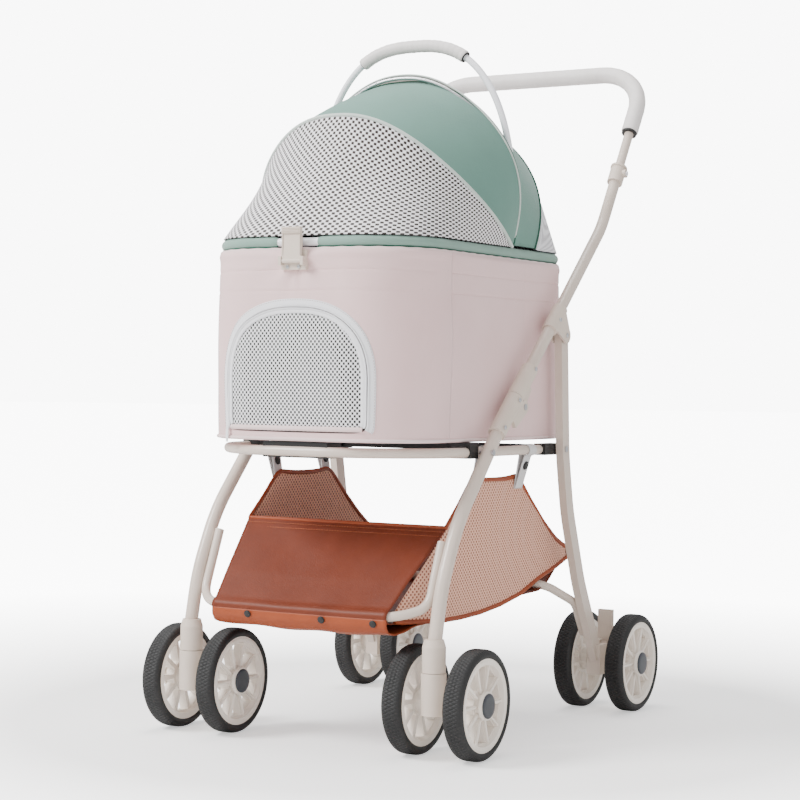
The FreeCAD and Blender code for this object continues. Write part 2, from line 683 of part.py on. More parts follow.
def make_lid():
    """The lid: a wrapped ring with the canopy's bows, cloth and mesh, and the carry hoop."""
    pivot, rear_pivot = size("canopy_pivot_back"), size("rear_bow_pivot_back")
    ring_radius = size("lid_ring_radius")
    shaped("lid_ring", rod(plan_wire(ring_radius, size("lid_ring_up")), ring_radius))
    front = {"height": 278.0, "power": 2.36, "bulge": 0.147, "bow": -29.9}
    middle = {"height": 258.6, "power": 2.22, "bulge": 0.164}
    bow_inset = size("cloth") + 0.4 + size("bow_radius")
    front_bow = Hoop(pivot, -50.8, half=size("canopy_half") - 7, **front)
    shaped("canopy_bow_front", front_bow.bar(size("bow_radius"), bow_inset, 10))
    fixed_bows = [Hoop(pivot, -8.4, **middle), Hoop(rear_pivot, 17.2, 209.8, 2.0)]
    bars = [bow.bar(size("bow_radius"), bow_inset, 10) for bow in fixed_bows]
    shaped("canopy_bows_fixed", Part.makeCompound(bars))
    rows, foot = 17, 4.0
    mesh_top = Hoop(pivot - 2.5, -51.6, **front)
    shaped("front_mesh", panel(lambda inset: mesh_top.points(foot, rows, inset),
                               lambda inset: rim_points(inset + 2, rows, pivot - 9, True)))
    cloth_front, cloth_middle = Hoop(pivot, -50.0, **front), Hoop(pivot, -7.4, **middle)
    shaped("canopy_front_panel", panel(lambda inset: cloth_front.points(foot, rows, inset),
                                       lambda inset: cloth_middle.points(foot, rows, inset)))
    hood = Hoop(pivot + 3, -5.3, 247.0, 2.4, 0.14)
    cloth_rear = Hoop(rear_pivot, 16.4, 209.8, 2.0)
    rear_panel = panel(lambda inset: hood.points(foot, rows, inset),
                       lambda inset: cloth_rear.points(foot, rows, inset))
    for side in (-1, 1):
        slot = box((-45, -21, -4), (45, 21, 215))
        slot.Placement = Placement(Vector(side * 165, size("carry_pivot_back"), 704), Rotation())
        rear_panel = rear_panel.cut(slot)
    shaped("canopy_rear_panel", rear_panel)
    mesh_rear = Hoop(rear_pivot + 2.5, 18.0, 209.8, 2.0)
    shaped("rear_mesh", panel(lambda inset: mesh_rear.points(foot, rows, inset),
                              lambda inset: rim_points(inset + 2, rows, rear_pivot + 9, False)))
    carry = Hoop(size("carry_pivot_back"), -1.5, 304.0, 2.7, 0.03, half=164.0)
    shaped("carry_hoop", carry.bar(size("carry_radius"), 0.0, 12, 25))
    grip = carry.bar(size("carry_grip_radius"), 0.0, 12, 9, 0.28)
    shaped("carry_grip", grip.cut(carry.bar(size("carry_radius"), 0.0, 12, 25)))


# ---------------------------------------------------------------- basket

def make_basket():
    """The open cloth basket under the carrier and the straps that hang it from the ring."""
    half, cloth = 165.0, 2.5
    outline = [(-46, 192), (56, 306), (92, 336), (134, 371), (200, 357), (268, 370), (312, 335),
               (360, 297), (402, 270), (436, 256), (440, 236), (400, 225), (344, 213),
               (281, 193), (158, 177), (60, 177), (-32, 180)]
    inside = [(-40, 192), (59, 303), (80, 450), (410, 450), (433.5, 256), (436.5, 238),
              (399, 228), (343, 216), (280.5, 196), (157, 180), (60, 180), (-30, 183)]

    def slab(points, reach):
        flat = [Vector(-reach, *p) for p in points]
        return Part.Face(Part.makePolygon(flat + flat[:1])).extrude(Vector(2 * reach, 0, 0))

    basket = slab(outline, half).cut(slab(inside, half - cloth))
    for path in (front_crossbar_path(), rear_crossbar_path()):
        basket = basket.cut(rod(path, size("crossbar_radius") + 0.8))
    shaped("basket", basket)
    x, up, ring = size("ring_half"), size("ring_up"), size("ring_radius")
    straps = []
    for back in (134.0, 268.0):
        start = Vector(x, back - 8, up)
        loop = Part.makeCylinder(ring + 1.4, 16, start, Vector(0, 1, 0)).cut(
            Part.makeCylinder(ring, 18, start - Vector(0, 1, 0), Vector(0, 1, 0)))
        tail = [Vector(x - 9.4, back - 8, up - 3), Vector(x - 7.9, back - 8, up - 3),
                Vector(half + 1.8, back - 8, 358), Vector(half + 0.3, back - 8, 358)]
        hanging = Part.Face(Part.makePolygon(tail + tail[:1])).extrude(Vector(0, 16, 0))
        straps.append(loop.fuse(hanging).removeSplitter())
    shaped("basket_straps", Part.makeCompound(straps + [mirrored(s) for s in straps]))


# ---------------------------------------------------------------- build and write

def move_to_origin():
    """Move every sub-part so that the origin is under the middle of the stroller."""
    for thing in nodes:
        back = thing.Placement.Base.y
        thing.setExpression("Placement.Base.y", f"{back} - sizes.origin_back")


def check_document():
    """Stop if any object failed to compute or any sub-part isn't a sound solid."""
    for thing in doc.Objects:
        if any(state in ("Invalid", "Error") for state in thing.State):
            raise RuntimeError(f"{thing.Label} failed: {thing.State}")
    for thing in nodes:
        shape = thing.Shape
        if shape.isNull() or not shape.isValid() or not shape.Solids or shape.Volume <= 0:
            raise RuntimeError(f"{thing.Label} isn't a sound solid")


def write_parts():
    """Write each sub-part to its own file."""
    os.makedirs("parts", exist_ok=True)
    for thing in nodes:
        thing.Shape.exportStep(f"parts/{thing.Label}.step")


make_support_ring()
make_carrier()
make_latch()
make_lid()
make_front_legs()
make_front_crossbar()
make_fold_hinges()
make_outer_tubes()
make_rear_leg_fittings()
make_collars_and_buttons()
make_handle()
make_rear_legs()
make_rear_crossbar()
make_rear_axles()
make_casters()
make_basket()
make_wheels()
move_to_origin()
doc.recompute()
check_document()
write_parts()
whole = Part.makeCompound([thing.Shape for thing in nodes]).BoundBox
print(f"{len(nodes)} sub-parts, {whole.XLength:.1f} x {whole.YLength:.1f} x {whole.ZLength:.1f} mm,",
      f"back {whole.YMin:.2f} to {whole.YMax:.2f}, up {whole.ZMin:.2f}")
for thing in nodes:
    print(f"{thing.Label:26s} solids {len(thing.Shape.Solids)} volume {thing.Shape.Volume / 1000:9.2f} cm3")
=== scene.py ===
"""Looks of a folding pet stroller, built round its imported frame.

Lengths in the code are millimetres in the stroller's layout frame: x to its left-hand
side, y backwards from the front axles, z up. `to_frame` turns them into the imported
frame's metres. Each sub-assembly is a class whose `build` makes and dresses its pieces.
"""

import logging
import math
from dataclasses import dataclass
from enum import Enum
from typing import Sequence

import bmesh
import bpy
import numpy as np
from mathutils import Matrix

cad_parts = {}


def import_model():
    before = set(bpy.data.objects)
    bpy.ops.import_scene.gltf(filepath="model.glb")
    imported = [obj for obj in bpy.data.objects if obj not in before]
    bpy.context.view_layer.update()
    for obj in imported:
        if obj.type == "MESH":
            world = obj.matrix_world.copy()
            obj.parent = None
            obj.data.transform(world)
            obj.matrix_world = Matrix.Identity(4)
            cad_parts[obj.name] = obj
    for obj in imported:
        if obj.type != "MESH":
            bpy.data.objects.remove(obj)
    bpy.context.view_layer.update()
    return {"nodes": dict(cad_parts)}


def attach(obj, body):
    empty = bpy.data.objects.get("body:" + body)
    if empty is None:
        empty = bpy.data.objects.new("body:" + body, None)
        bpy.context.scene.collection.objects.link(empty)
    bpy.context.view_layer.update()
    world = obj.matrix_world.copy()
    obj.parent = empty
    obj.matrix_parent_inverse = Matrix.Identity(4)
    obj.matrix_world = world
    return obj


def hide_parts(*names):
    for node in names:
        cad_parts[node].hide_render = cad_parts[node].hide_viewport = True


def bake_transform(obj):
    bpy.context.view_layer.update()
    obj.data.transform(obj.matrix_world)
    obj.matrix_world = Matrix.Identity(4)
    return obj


logging.basicConfig(level=logging.INFO, format="%(message)s")
LOG = logging.getLogger("stroller")
ORIGIN_BACK = 279.05
FLAT_MAP = "flat"


class Body(Enum):
    """The moving bodies that pieces ride on."""

    SUPPORT = "support_frame"
    CARRIER = "carrier"
    DOOR = "door"
    LATCH = "latch"
    LID = "lid"
    CANOPY_FRONT = "canopy_front"
    CARRY_HANDLE = "carry_handle"
    FRONT_FRAME = "front_frame"
    HANDLE_FRAME = "handle_frame"
    REAR_FRAME = "rear_frame"
    HANDLE = "handle"


def to_frame(points: np.ndarray) -> np.ndarray:
    """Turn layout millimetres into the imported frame's metres."""
    return (points - np.array([0.0, ORIGIN_BACK, 0.0])) / 1000.0


def unit(vectors: np.ndarray) -> np.ndarray:
    """Vectors along the last axis, scaled to length one."""
    return vectors / np.maximum(np.linalg.norm(vectors, axis=-1, keepdims=True), 1e-9)


# ------------------------------------------------------------------ surfaces

@dataclass
class Surface:
    """A surface known on a grid of two parameters.

    Attributes:
        points: rows by columns by 3, in layout millimetres.
        wrap_rows: whether the last row joins the first.
        wrap_columns: whether the last column joins the first.
        caps: whether flat faces close the first and last row.
        flat: the flat cloth's coordinates in millimetres, measured if not given.
    """

    points: np.ndarray
    wrap_rows: bool = False
    wrap_columns: bool = False
    caps: bool = False
    flat: np.ndarray | None = None

    def flat_grid(self) -> np.ndarray:
        """Distances along rows and columns, as running sums of the grid's steps."""
        points = self.points
        if self.wrap_rows:
            points = np.concatenate([points, points[:1]], axis=0)
        if self.wrap_columns:
            points = np.concatenate([points, points[:, :1]], axis=1)
        if self.flat is not None:
            pad = [(0, points.shape[i] - self.flat.shape[i]) for i in (0, 1)] + [(0, 0)]
            return np.pad(self.flat, pad, mode="wrap")
        down = np.linalg.norm(np.diff(points, axis=0), axis=-1)
        across = np.linalg.norm(np.diff(points, axis=1), axis=-1)
        first = np.concatenate([np.zeros((1, points.shape[1])), np.cumsum(down, axis=0)])
        second = np.concatenate([np.zeros((points.shape[0], 1)), np.cumsum(across, axis=1)], axis=1)
        middle = first[first.shape[0] // 2]
        return np.stack([first - middle, second], axis=-1)

    def arrays(self) -> tuple[np.ndarray, list, np.ndarray]:
        """Vertices, faces and the flat coordinates of each face corner."""
        rows, columns = self.points.shape[:2]
        last_row, last_column = rows - (not self.wrap_rows), columns - (not self.wrap_columns)
        i, j = np.meshgrid(np.arange(last_row), np.arange(last_column), indexing="ij")
        corners = [(i, j), (i + 1, j), (i + 1, j + 1), (i, j + 1)]
        quads = np.stack([(a % rows) * columns + b % columns for a, b in corners], axis=-1)
        grid = self.flat_grid()
        flat = np.stack([grid[a, b] for a, b in corners], axis=2).reshape(-1, 2)
        faces = quads.reshape(-1, 4).tolist()
        if self.caps:
            first = list(range(columns))[::-1]
            faces += [first, [(rows - 1) * columns + c for c in range(columns)]]
            flat = np.concatenate([flat, np.zeros((2 * columns, 2))])
        return self.points.reshape(-1, 3), faces, flat


@dataclass
class Repeated:
    """One small closed shape copied to many places along a line.

    Attributes:
        shape: rings by sides by 3, in the copy's own along, side and out directions.
        origins: where each copy stands, in layout millimetres.
        axes: each copy's along, side and out directions, copies by 3 by 3.
    """

    shape: np.ndarray
    origins: np.ndarray
    axes: np.ndarray

    def arrays(self) -> tuple[np.ndarray, list, np.ndarray]:
        """Vertices, faces and flat coordinates of all the copies."""
        rings, sides = self.shape.shape[:2]
        copies = len(self.origins)
        placed = self.origins[:, None, :] + self.shape.reshape(-1, 3) @ self.axes
        i, j = np.meshgrid(np.arange(rings - 1), np.arange(sides), indexing="ij")
        near, far = (j % sides), ((j + 1) % sides)
        quads = np.stack([i * sides + near, (i + 1) * sides + near,
                          (i + 1) * sides + far, i * sides + far], axis=-1).reshape(-1, 4)
        shift = (np.arange(copies) * rings * sides)[:, None, None]
        faces = (quads[None] + shift).reshape(-1, 4).tolist()
        cap = np.arange(sides)
        ends = np.stack([cap[::-1], (rings - 1) * sides + cap])[None] + shift
        faces += ends.reshape(-1, sides).tolist()
        corners = copies * (len(quads) * 4 + 2 * sides)
        return placed.reshape(-1, 3), faces, np.zeros((corners, 2))


def resample(path: np.ndarray, count: int) -> np.ndarray:
    """Points at even distances along a path, by running length."""
    run = np.concatenate([[0.0], np.cumsum(np.linalg.norm(np.diff(path, axis=0), axis=1))])
    places = np.linspace(0.0, run[-1], count)
    return np.stack([np.interp(places, run, path[:, k]) for k in range(3)], axis=1)


def softened(path: np.ndarray, window: int) -> np.ndarray:
    """A path whose corners are rounded by a running mean, its ends kept."""
    kernel = np.ones(window) / window
    pad = window // 2
    head = path[:1] + (path[:1] - path[1:2]) * np.arange(pad, 0, -1)[:, None]
    tail = path[-1:] + (path[-1:] - path[-2:-1]) * np.arange(1, pad + 1)[:, None]
    longer = np.concatenate([head, path, tail])
    return np.stack([np.convolve(longer[:, k], kernel, mode="valid") for k in range(3)], axis=1)


def tangents(path: np.ndarray, closed: bool = False) -> np.ndarray:
    """Directions along a path, from the points on either side."""
    if closed:
        return unit(np.roll(path, -1, axis=0) - np.roll(path, 1, axis=0))
    return unit(np.gradient(path, axis=0))


def tube(path: np.ndarray, radius: float | np.ndarray, side: np.ndarray, *, sides: int = 16,
         closed: bool = False, squash: float = 1.0) -> Surface:
    """A round or oval tube carried along a path.

    Each ring is the path's point plus the radius times the cosine and sine of the turn
    along two directions square to the path; `squash` flattens it across `side`.

    Args:
        path: points of the centre line.
        radius: one radius, or one for each point, or points by sides.
        side: a direction, or one for each point, that is never along the path.
        sides: number of faces round the tube.
        closed: whether the path is a loop.
        squash: the thickness across `side` as a share of the width.

    Returns:
        The tube, with flat ends if it is open.
    """
    along = tangents(path, closed)
    first = unit(side - along * np.sum(side * along, axis=1, keepdims=True))
    second = np.cross(along, first)
    turn = np.linspace(0.0, 2 * np.pi, sides, endpoint=False)
    reach = np.broadcast_to(np.atleast_1d(radius).reshape(-1, 1) if np.ndim(radius) < 2 else radius,
                            (len(path), sides))
    ring = (first[:, None] * (np.cos(turn) * squash)[None, :, None]
            + second[:, None] * np.sin(turn)[None, :, None])
    return Surface(path[:, None] + ring * reach[..., None], wrap_rows=closed, wrap_columns=True,
                   caps=not closed)


def turned(profile: Sequence[tuple[float, float]], centre: Sequence[float], axis: Sequence[float],
           sides: int = 32, hollow: bool = False) -> Surface:
    """A profile of (out, along) pairs turned about an axis, as a closed disc or an open ring."""
    outline = np.array(profile, dtype=float)
    along = unit(np.array(axis, dtype=float))
    helper = np.array([0.0, 0.0, 1.0]) if abs(along[2]) < 0.9 else np.array([1.0, 0.0, 0.0])
    first = unit(np.cross(helper, along))
    second = np.cross(along, first)
    turn = np.linspace(0.0, 2 * np.pi, sides, endpoint=False)
    ring = first * np.cos(turn)[:, None] + second * np.sin(turn)[:, None]
    points = (np.array(centre, dtype=float) + outline[:, None, :1] * ring[None]
              + outline[:, None, 1:] * along)
    return Surface(points, wrap_rows=hollow, wrap_columns=True, caps=not hollow)


def dome(centre: Sequence[float], axis: Sequence[float], radius: float, height: float) -> Surface:
    """A low domed head: its height falls with the square of the distance from its middle."""
    share = np.array([1.0, 1.0, 0.92, 0.75, 0.5, 0.2])
    lift = np.array([0.0, 0.45, 0.72, 0.9, 0.98, 1.0])
    return turned(list(zip(radius * share, height * lift)), centre, axis, 20)


def beads(path: np.ndarray, out: np.ndarray, pitch: float, length: float, width: float,
          tilt: float = 0.0, closed: bool = False) -> Repeated:
    """A row of sewn stitches or teeth: short six-sided pins at even steps along a path.

    Args:
        path: the line they follow.
        out: the outward direction at each point of the path.
        pitch: distance from one to the next.
        length: length of each.
        width: thickness of each.
        tilt: turn of each about the outward direction, in degrees.
        closed: whether the path is a loop.

    Returns:
        The copies.
    """
    loop = np.concatenate([path, path[:1]]) if closed else path
    outs = np.concatenate([out, out[:1]]) if closed else out
    run = np.concatenate([[0.0], np.cumsum(np.linalg.norm(np.diff(loop, axis=0), axis=1))])
    places = np.arange(pitch / 2, run[-1], pitch)
    origins = np.stack([np.interp(places, run, loop[:, k]) for k in range(3)], axis=1)
    normal = unit(np.stack([np.interp(places, run, outs[:, k]) for k in range(3)], axis=1))
    ahead = np.stack([np.interp(places + 0.5, run, loop[:, k]) for k in range(3)], axis=1)
    along = unit(ahead - origins + 1e-6)
    across = unit(np.cross(normal, along))
    angle = math.radians(tilt)
    along, across = (along * math.cos(angle) + across * math.sin(angle),
                     across * math.cos(angle) - along * math.sin(angle))
    turn = np.linspace(0.0, 2 * np.pi, 6, endpoint=False)
    steps, scale = np.array([-0.5, -0.38, 0.38, 0.5]), np.array([0.45, 1.0, 1.0, 0.45])
    shape = np.stack([np.broadcast_to(steps[:, None] * length, (4, 6)),
                      scale[:, None] * np.cos(turn) * width / 2,
                      scale[:, None] * np.sin(turn) * width / 2], axis=-1)
    return Repeated(shape, origins, np.stack([along, across, normal], axis=1))


def make_object(name: str, surfaces: Sequence[Surface | Repeated], finish: "Finish", *,
                wall: float = 0.0, levels: int = 0, sharp: float = 40.0,
                solid: bool = False) -> bpy.types.Object:
    """Join surfaces into one mesh object at the origin.

    Args:
        name: the piece's name.
        surfaces: what it is made of.
        finish: its material.
        wall: thickness given to an open sheet, in millimetres.
        levels: subdivision levels.
        sharp: edges sharper than this stay crisp, in degrees.
        solid: whether to merge poles and turn all faces outwards.

    Returns:
        The new object.
    """
    points, faces, flat, start = [], [], [], 0
    for surface in surfaces:
        some, around, coordinates = surface.arrays()
        points.append(some)
        faces += [[corner + start for corner in face] for face in around]
        flat.append(coordinates)
        start += len(some)
    mesh = bpy.data.meshes.new(name)
    mesh.from_pydata(to_frame(np.concatenate(points)), [], faces)
    layer = mesh.uv_layers.new(name=FLAT_MAP)
    layer.data.foreach_set("uv", (np.concatenate(flat) / 1000.0).astype(np.float32).ravel())
    if solid:
        work = bmesh.new()
        work.from_mesh(mesh)
        bmesh.ops.remove_doubles(work, verts=work.verts, dist=2e-6)
        bmesh.ops.recalc_face_normals(work, faces=work.faces)
        work.to_mesh(mesh)
        work.free()
    mesh.polygons.foreach_set("use_smooth", np.ones(len(mesh.polygons), dtype=bool))
    mesh.set_sharp_from_angle(angle=math.radians(sharp))
    mesh.materials.append(finish.material())
    thing = bpy.data.objects.new(name, mesh)
    bpy.context.scene.collection.objects.link(thing)
    if wall:
        thicken = thing.modifiers.new("wall", "SOLIDIFY")
        thicken.thickness = wall / 1000.0
        thicken.offset = 0.0
    if levels:
        divide = thing.modifiers.new("rounding", "SUBSURF")
        divide.levels = divide.render_levels = levels
    return thing


def put(thing: bpy.types.Object, body: Body | str | None, *stands_for: str,
        slot: str = "") -> bpy.types.Object:
    """Ride a piece on a body, and hide the CAD nodes that it stands for.

    Args:
        thing: the piece.
        body: the body it moves with, or None if it bends between two.
        stands_for: CAD nodes that it replaces.
        slot: the record's material slot for the piece; not used.

    Returns:
        The piece.
    """
    if body:
        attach(thing, body.value if isinstance(body, Body) else body)
    if stands_for:
        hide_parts(*stands_for)
    LOG.info("%s: %d faces", thing.name, len(thing.data.polygons))
    return thing


# ------------------------------------------------------------------ finishes

def linear(hex_colour: str) -> tuple[float, float, float, float]:
    """An sRGB hex colour as linear red, green, blue and alpha."""
    parts = np.array([int(hex_colour[k:k + 2], 16) for k in (1, 3, 5)]) / 255.0
    low, high = parts / 12.92, ((parts + 0.055) / 1.055) ** 2.4
    return (*np.where(parts <= 0.04045, low, high).tolist(), 1.0)


def add_node(tree: bpy.types.NodeTree, kind: str, settings: dict | None = None,
             links: dict | None = None) -> bpy.types.Node:
    """Add a shader node with its settings and links.

    Args:
        tree: the material's node tree.
        kind: the node's type name.
        settings: values by property name, or by input name or number.
        links: output sockets by the input's name or number.

    Returns:
        The node.
    """
    node = tree.nodes.new(kind)
    for key, value in (settings or {}).items():
        if isinstance(key, str) and hasattr(node, key):
            setattr(node, key, value)
        else:
            node.inputs[key].default_value = value
    for key, source in (links or {}).items():
        tree.links.new(source, node.inputs[key])
    return node


def math_node(kind: str, number: float | None = None) -> dict:
    """Settings of an arithmetic node, with its second number if it has one."""
    return {"operation": kind} if number is None else {"operation": kind, 1: number}


def two_tone(tree: bpy.types.NodeTree, first: str, second: str, factor) -> bpy.types.NodeSocket:
    """A colour between two, by a factor socket."""
    mix = add_node(tree, "ShaderNodeMix", {"data_type": "RGBA", 6: linear(first), 7: linear(second)},
                   {0: factor})
    return mix.outputs[2]


@dataclass(frozen=True)
class Finish:
    """What every finish has: a name, and a material made once."""

    name: str
    colour: str
    shade: str

    def material(self) -> bpy.types.Material:
        """The finish's material, made the first time it is asked for."""
        found = bpy.data.materials.get(self.name)
        if found:
            return found
        made = bpy.data.materials.new(self.name)
        made.use_nodes = True
        tree = made.node_tree
        tree.nodes.clear()
        shader = add_node(tree, "ShaderNodeBsdfPrincipled", {"Base Color": linear(self.colour)})
        output = add_node(tree, "ShaderNodeOutputMaterial", None, {"Surface": shader.outputs[0]})
        self.dress(tree, shader)
        output.location = (400, 0)
        made.diffuse_color = linear(self.colour)
        return made

    def dress(self, tree: bpy.types.NodeTree, shader: bpy.types.Node) -> None:
        """Add this finish's own colour, gloss and relief."""
        raise NotImplementedError

    def mottle(self, tree: bpy.types.NodeTree, shader: bpy.types.Node, size_mm: float,
               contrast: float) -> bpy.types.NodeSocket:
        """Drift the base colour between two tones with a soft noise of a real size."""
        place = add_node(tree, "ShaderNodeTexCoord")
        noise = add_node(tree, "ShaderNodeTexNoise", {"Scale": 1000.0 / size_mm, "Detail": 3.0},
                         {"Vector": place.outputs["Object"]})
        spread = add_node(tree, "ShaderNodeMapRange", {"From Min": 0.5 - 0.5 / contrast,
                                                       "From Max": 0.5 + 0.5 / contrast},
                          {"Value": noise.outputs[0]})
        tree.links.new(two_tone(tree, self.colour, self.shade, spread.outputs[0]),
                       shader.inputs["Base Color"])
        return place.outputs["Object"]

    def relief(self, tree: bpy.types.NodeTree, shader: bpy.types.Node, height, depth_mm: float) -> None:
        """Raise the surface by a height socket, full scale being `depth_mm`."""
        bump = add_node(tree, "ShaderNodeBump", {"Distance": depth_mm / 1000.0, "Strength": 1.0},
                        {"Height": height})
        tree.links.new(bump.outputs[0], shader.inputs["Normal"])


@dataclass(frozen=True)
class PowderCoat(Finish):
    """Powder-coated steel tube: a satin film with a faint orange peel."""

    peel_mm: float = 2.2

    def dress(self, tree: bpy.types.NodeTree, shader: bpy.types.Node) -> None:
        """Soft tone drift, satin gloss under a thin clear layer, and the peel."""
        place = self.mottle(tree, shader, 60.0, 1.6)
        peel = add_node(tree, "ShaderNodeTexNoise", {"Scale": 1000.0 / self.peel_mm, "Detail": 2.0},
                        {"Vector": place})
        rough = add_node(tree, "ShaderNodeMapRange", {"To Min": 0.30, "To Max": 0.44},
                         {"Value": peel.outputs[0]})
        tree.links.new(rough.outputs[0], shader.inputs["Roughness"])
        shader.inputs["Coat Weight"].default_value = 0.2
        shader.inputs["IOR"].default_value = 1.5
        self.relief(tree, shader, peel.outputs[0], 0.03)


@dataclass(frozen=True)
class MouldedPlastic(Finish):
    """Injection-moulded nylon or ABS: fine spark-eroded grain, drawn coarse so it shows."""

    grain_mm: float = 0.9
    rough: float = 0.5

    def dress(self, tree: bpy.types.NodeTree, shader: bpy.types.Node) -> None:
        """Slight tone drift, even gloss and the mould's grain."""
        place = self.mottle(tree, shader, 35.0, 1.5)
        grain = add_node(tree, "ShaderNodeTexNoise", {"Scale": 1000.0 / self.grain_mm, "Detail": 4.0},
                         {"Vector": place})
        gloss = add_node(tree, "ShaderNodeMapRange", {"To Min": self.rough - 0.06, "To Max": self.rough + 0.08},
                         {"Value": grain.outputs[0]})
        tree.links.new(gloss.outputs[0], shader.inputs["Roughness"])
        shader.inputs["IOR"].default_value = 1.49
        self.relief(tree, shader, grain.outputs[0], 0.05)


@dataclass(frozen=True)
class PlatedSteel(Finish):
    """Zinc-plated steel: bright metal with fine turning marks."""

    def dress(self, tree: bpy.types.NodeTree, shader: bpy.types.Node) -> None:
        """Metal, with gloss that varies in fine scratches."""
        place = self.mottle(tree, shader, 8.0, 1.4)
        marks = add_node(tree, "ShaderNodeTexNoise", {"Scale": 1400.0, "Detail": 3.0}, {"Vector": place})
        gloss = add_node(tree, "ShaderNodeMapRange", {"To Min": 0.2, "To Max": 0.42},
                         {"Value": marks.outputs[0]})
        tree.links.new(gloss.outputs[0], shader.inputs["Roughness"])
        shader.inputs["Metallic"].default_value = 1.0
        self.relief(tree, shader, marks.outputs[0], 0.015)


@dataclass(frozen=True)
class Rubber(Finish):
    """Moulded black rubber: matt, with a dusty bloom."""

    def dress(self, tree: bpy.types.NodeTree, shader: bpy.types.Node) -> None:
        """Dark tone drift, high roughness and a fine grain."""
        place = self.mottle(tree, shader, 14.0, 1.8)
        grain = add_node(tree, "ShaderNodeTexNoise", {"Scale": 900.0, "Detail": 4.0}, {"Vector": place})
        gloss = add_node(tree, "ShaderNodeMapRange", {"To Min": 0.5, "To Max": 0.72},
                         {"Value": grain.outputs[0]})
        tree.links.new(gloss.outputs[0], shader.inputs["Roughness"])
        shader.inputs["IOR"].default_value = 1.52
        self.relief(tree, shader, grain.outputs[0], 0.06)


@dataclass(frozen=True)
class Leather(Finish):
    """Embossed leatherette: a grain of small cells with creases between them."""

    grain_mm: float = 2.0
    rough: float = 0.5
    shine: float = 0.5

    def dress(self, tree: bpy.types.NodeTree, shader: bpy.types.Node) -> None:
        """Soft tone drift, creases a little duller, and the cells' relief."""
        place = self.mottle(tree, shader, 45.0, 1.7)
        cells = add_node(tree, "ShaderNodeTexVoronoi", {"Scale": 1000.0 / self.grain_mm,
                                                        "feature": "SMOOTH_F1"}, {"Vector": place})
        folds = add_node(tree, "ShaderNodeTexNoise", {"Scale": 1000.0 / 12.0, "Detail": 3.0},
                         {"Vector": place})
        height = add_node(tree, "ShaderNodeMath", math_node("SUBTRACT"),
                          {0: folds.outputs[0], 1: cells.outputs["Distance"]})
        gloss = add_node(tree, "ShaderNodeMapRange", {"To Min": self.rough - 0.08, "To Max": self.rough + 0.1},
                         {"Value": cells.outputs["Distance"]})
        tree.links.new(gloss.outputs[0], shader.inputs["Roughness"])
        shader.inputs["Specular IOR Level"].default_value = self.shine
        self.relief(tree, shader, height.outputs[0], 0.16)


@dataclass(frozen=True)
class Woven(Finish):
    """Plain-woven polyester: threads over and under, drawn coarser than real so they show."""

    thread_mm: float = 1.1
    sheen: float = 0.25

    def dress(self, tree: bpy.types.NodeTree, shader: bpy.types.Node) -> None:
        """Tone drift, then the weave as one sine each way multiplied together."""
        place = self.mottle(tree, shader, 90.0, 1.5)
        weave = sine_product(tree, self.thread_mm * 2, self.thread_mm * 2, "SINE")
        slub = add_node(tree, "ShaderNodeTexNoise", {"Scale": 260.0, "Detail": 3.0}, {"Vector": place})
        height = add_node(tree, "ShaderNodeMath", math_node("MULTIPLY_ADD", 0.35),
                          {0: weave, 2: slub.outputs[0]})
        shader.inputs["Roughness"].default_value = 0.82
        shader.inputs["Sheen Weight"].default_value = self.sheen
        shader.inputs["Sheen Roughness"].default_value = 0.4
        self.relief(tree, shader, height.outputs[0], 0.16)


@dataclass(frozen=True)
class SpacerMesh(Finish):
    """Knitted spacer mesh: staggered round holes, `shade` being painted shade for the dim inside seen through them."""

    pitch_mm: tuple[float, float] = (7.0, 7.0)
    open_above: float = 0.25

    def dress(self, tree: bpy.types.NodeTree, shader: bpy.types.Node) -> None:
        """Holes where the product of two cosines is high, coloured with painted shade and sunk below the threads."""
        lattice = sine_product(tree, *self.pitch_mm, "COSINE")
        hole_shade_mask = add_node(tree, "ShaderNodeMapRange", {"From Min": self.open_above - 0.1,
                                                     "From Max": self.open_above + 0.12},
                        {"Value": lattice})
        # painted shade: the holes take the dark `shade` colour in place of the dim inside seen through them
        tree.links.new(two_tone(tree, self.colour, self.shade, hole_shade_mask.outputs[0]),
                       shader.inputs["Base Color"])
        deep = add_node(tree, "ShaderNodeMath", math_node("MULTIPLY", -1.0), {0: hole_shade_mask.outputs[0]})
        shader.inputs["Roughness"].default_value = 0.75
        shader.inputs["Sheen Weight"].default_value = 0.2
        self.relief(tree, shader, deep.outputs[0], 0.8)


def sine_product(tree: bpy.types.NodeTree, first_mm: float, second_mm: float,
                 wave: str) -> bpy.types.NodeSocket:
    """The product of a wave along the cloth and one across it, from its flat coordinates."""
    flat = add_node(tree, "ShaderNodeUVMap", {"uv_map": FLAT_MAP})
    parts = add_node(tree, "ShaderNodeSeparateXYZ", None, {0: flat.outputs[0]})
    waves = []
    for axis, pitch in ((0, first_mm), (1, second_mm)):
        turns = add_node(tree, "ShaderNodeMath", math_node("MULTIPLY", 2000.0 * math.pi / pitch),
                         {0: parts.outputs[axis]})
        waves.append(add_node(tree, "ShaderNodeMath", math_node(wave), {0: turns.outputs[0]}))
    return add_node(tree, "ShaderNodeMath", math_node("MULTIPLY"),
                    {0: waves[0].outputs[0], 1: waves[1].outputs[0]}).outputs[0]


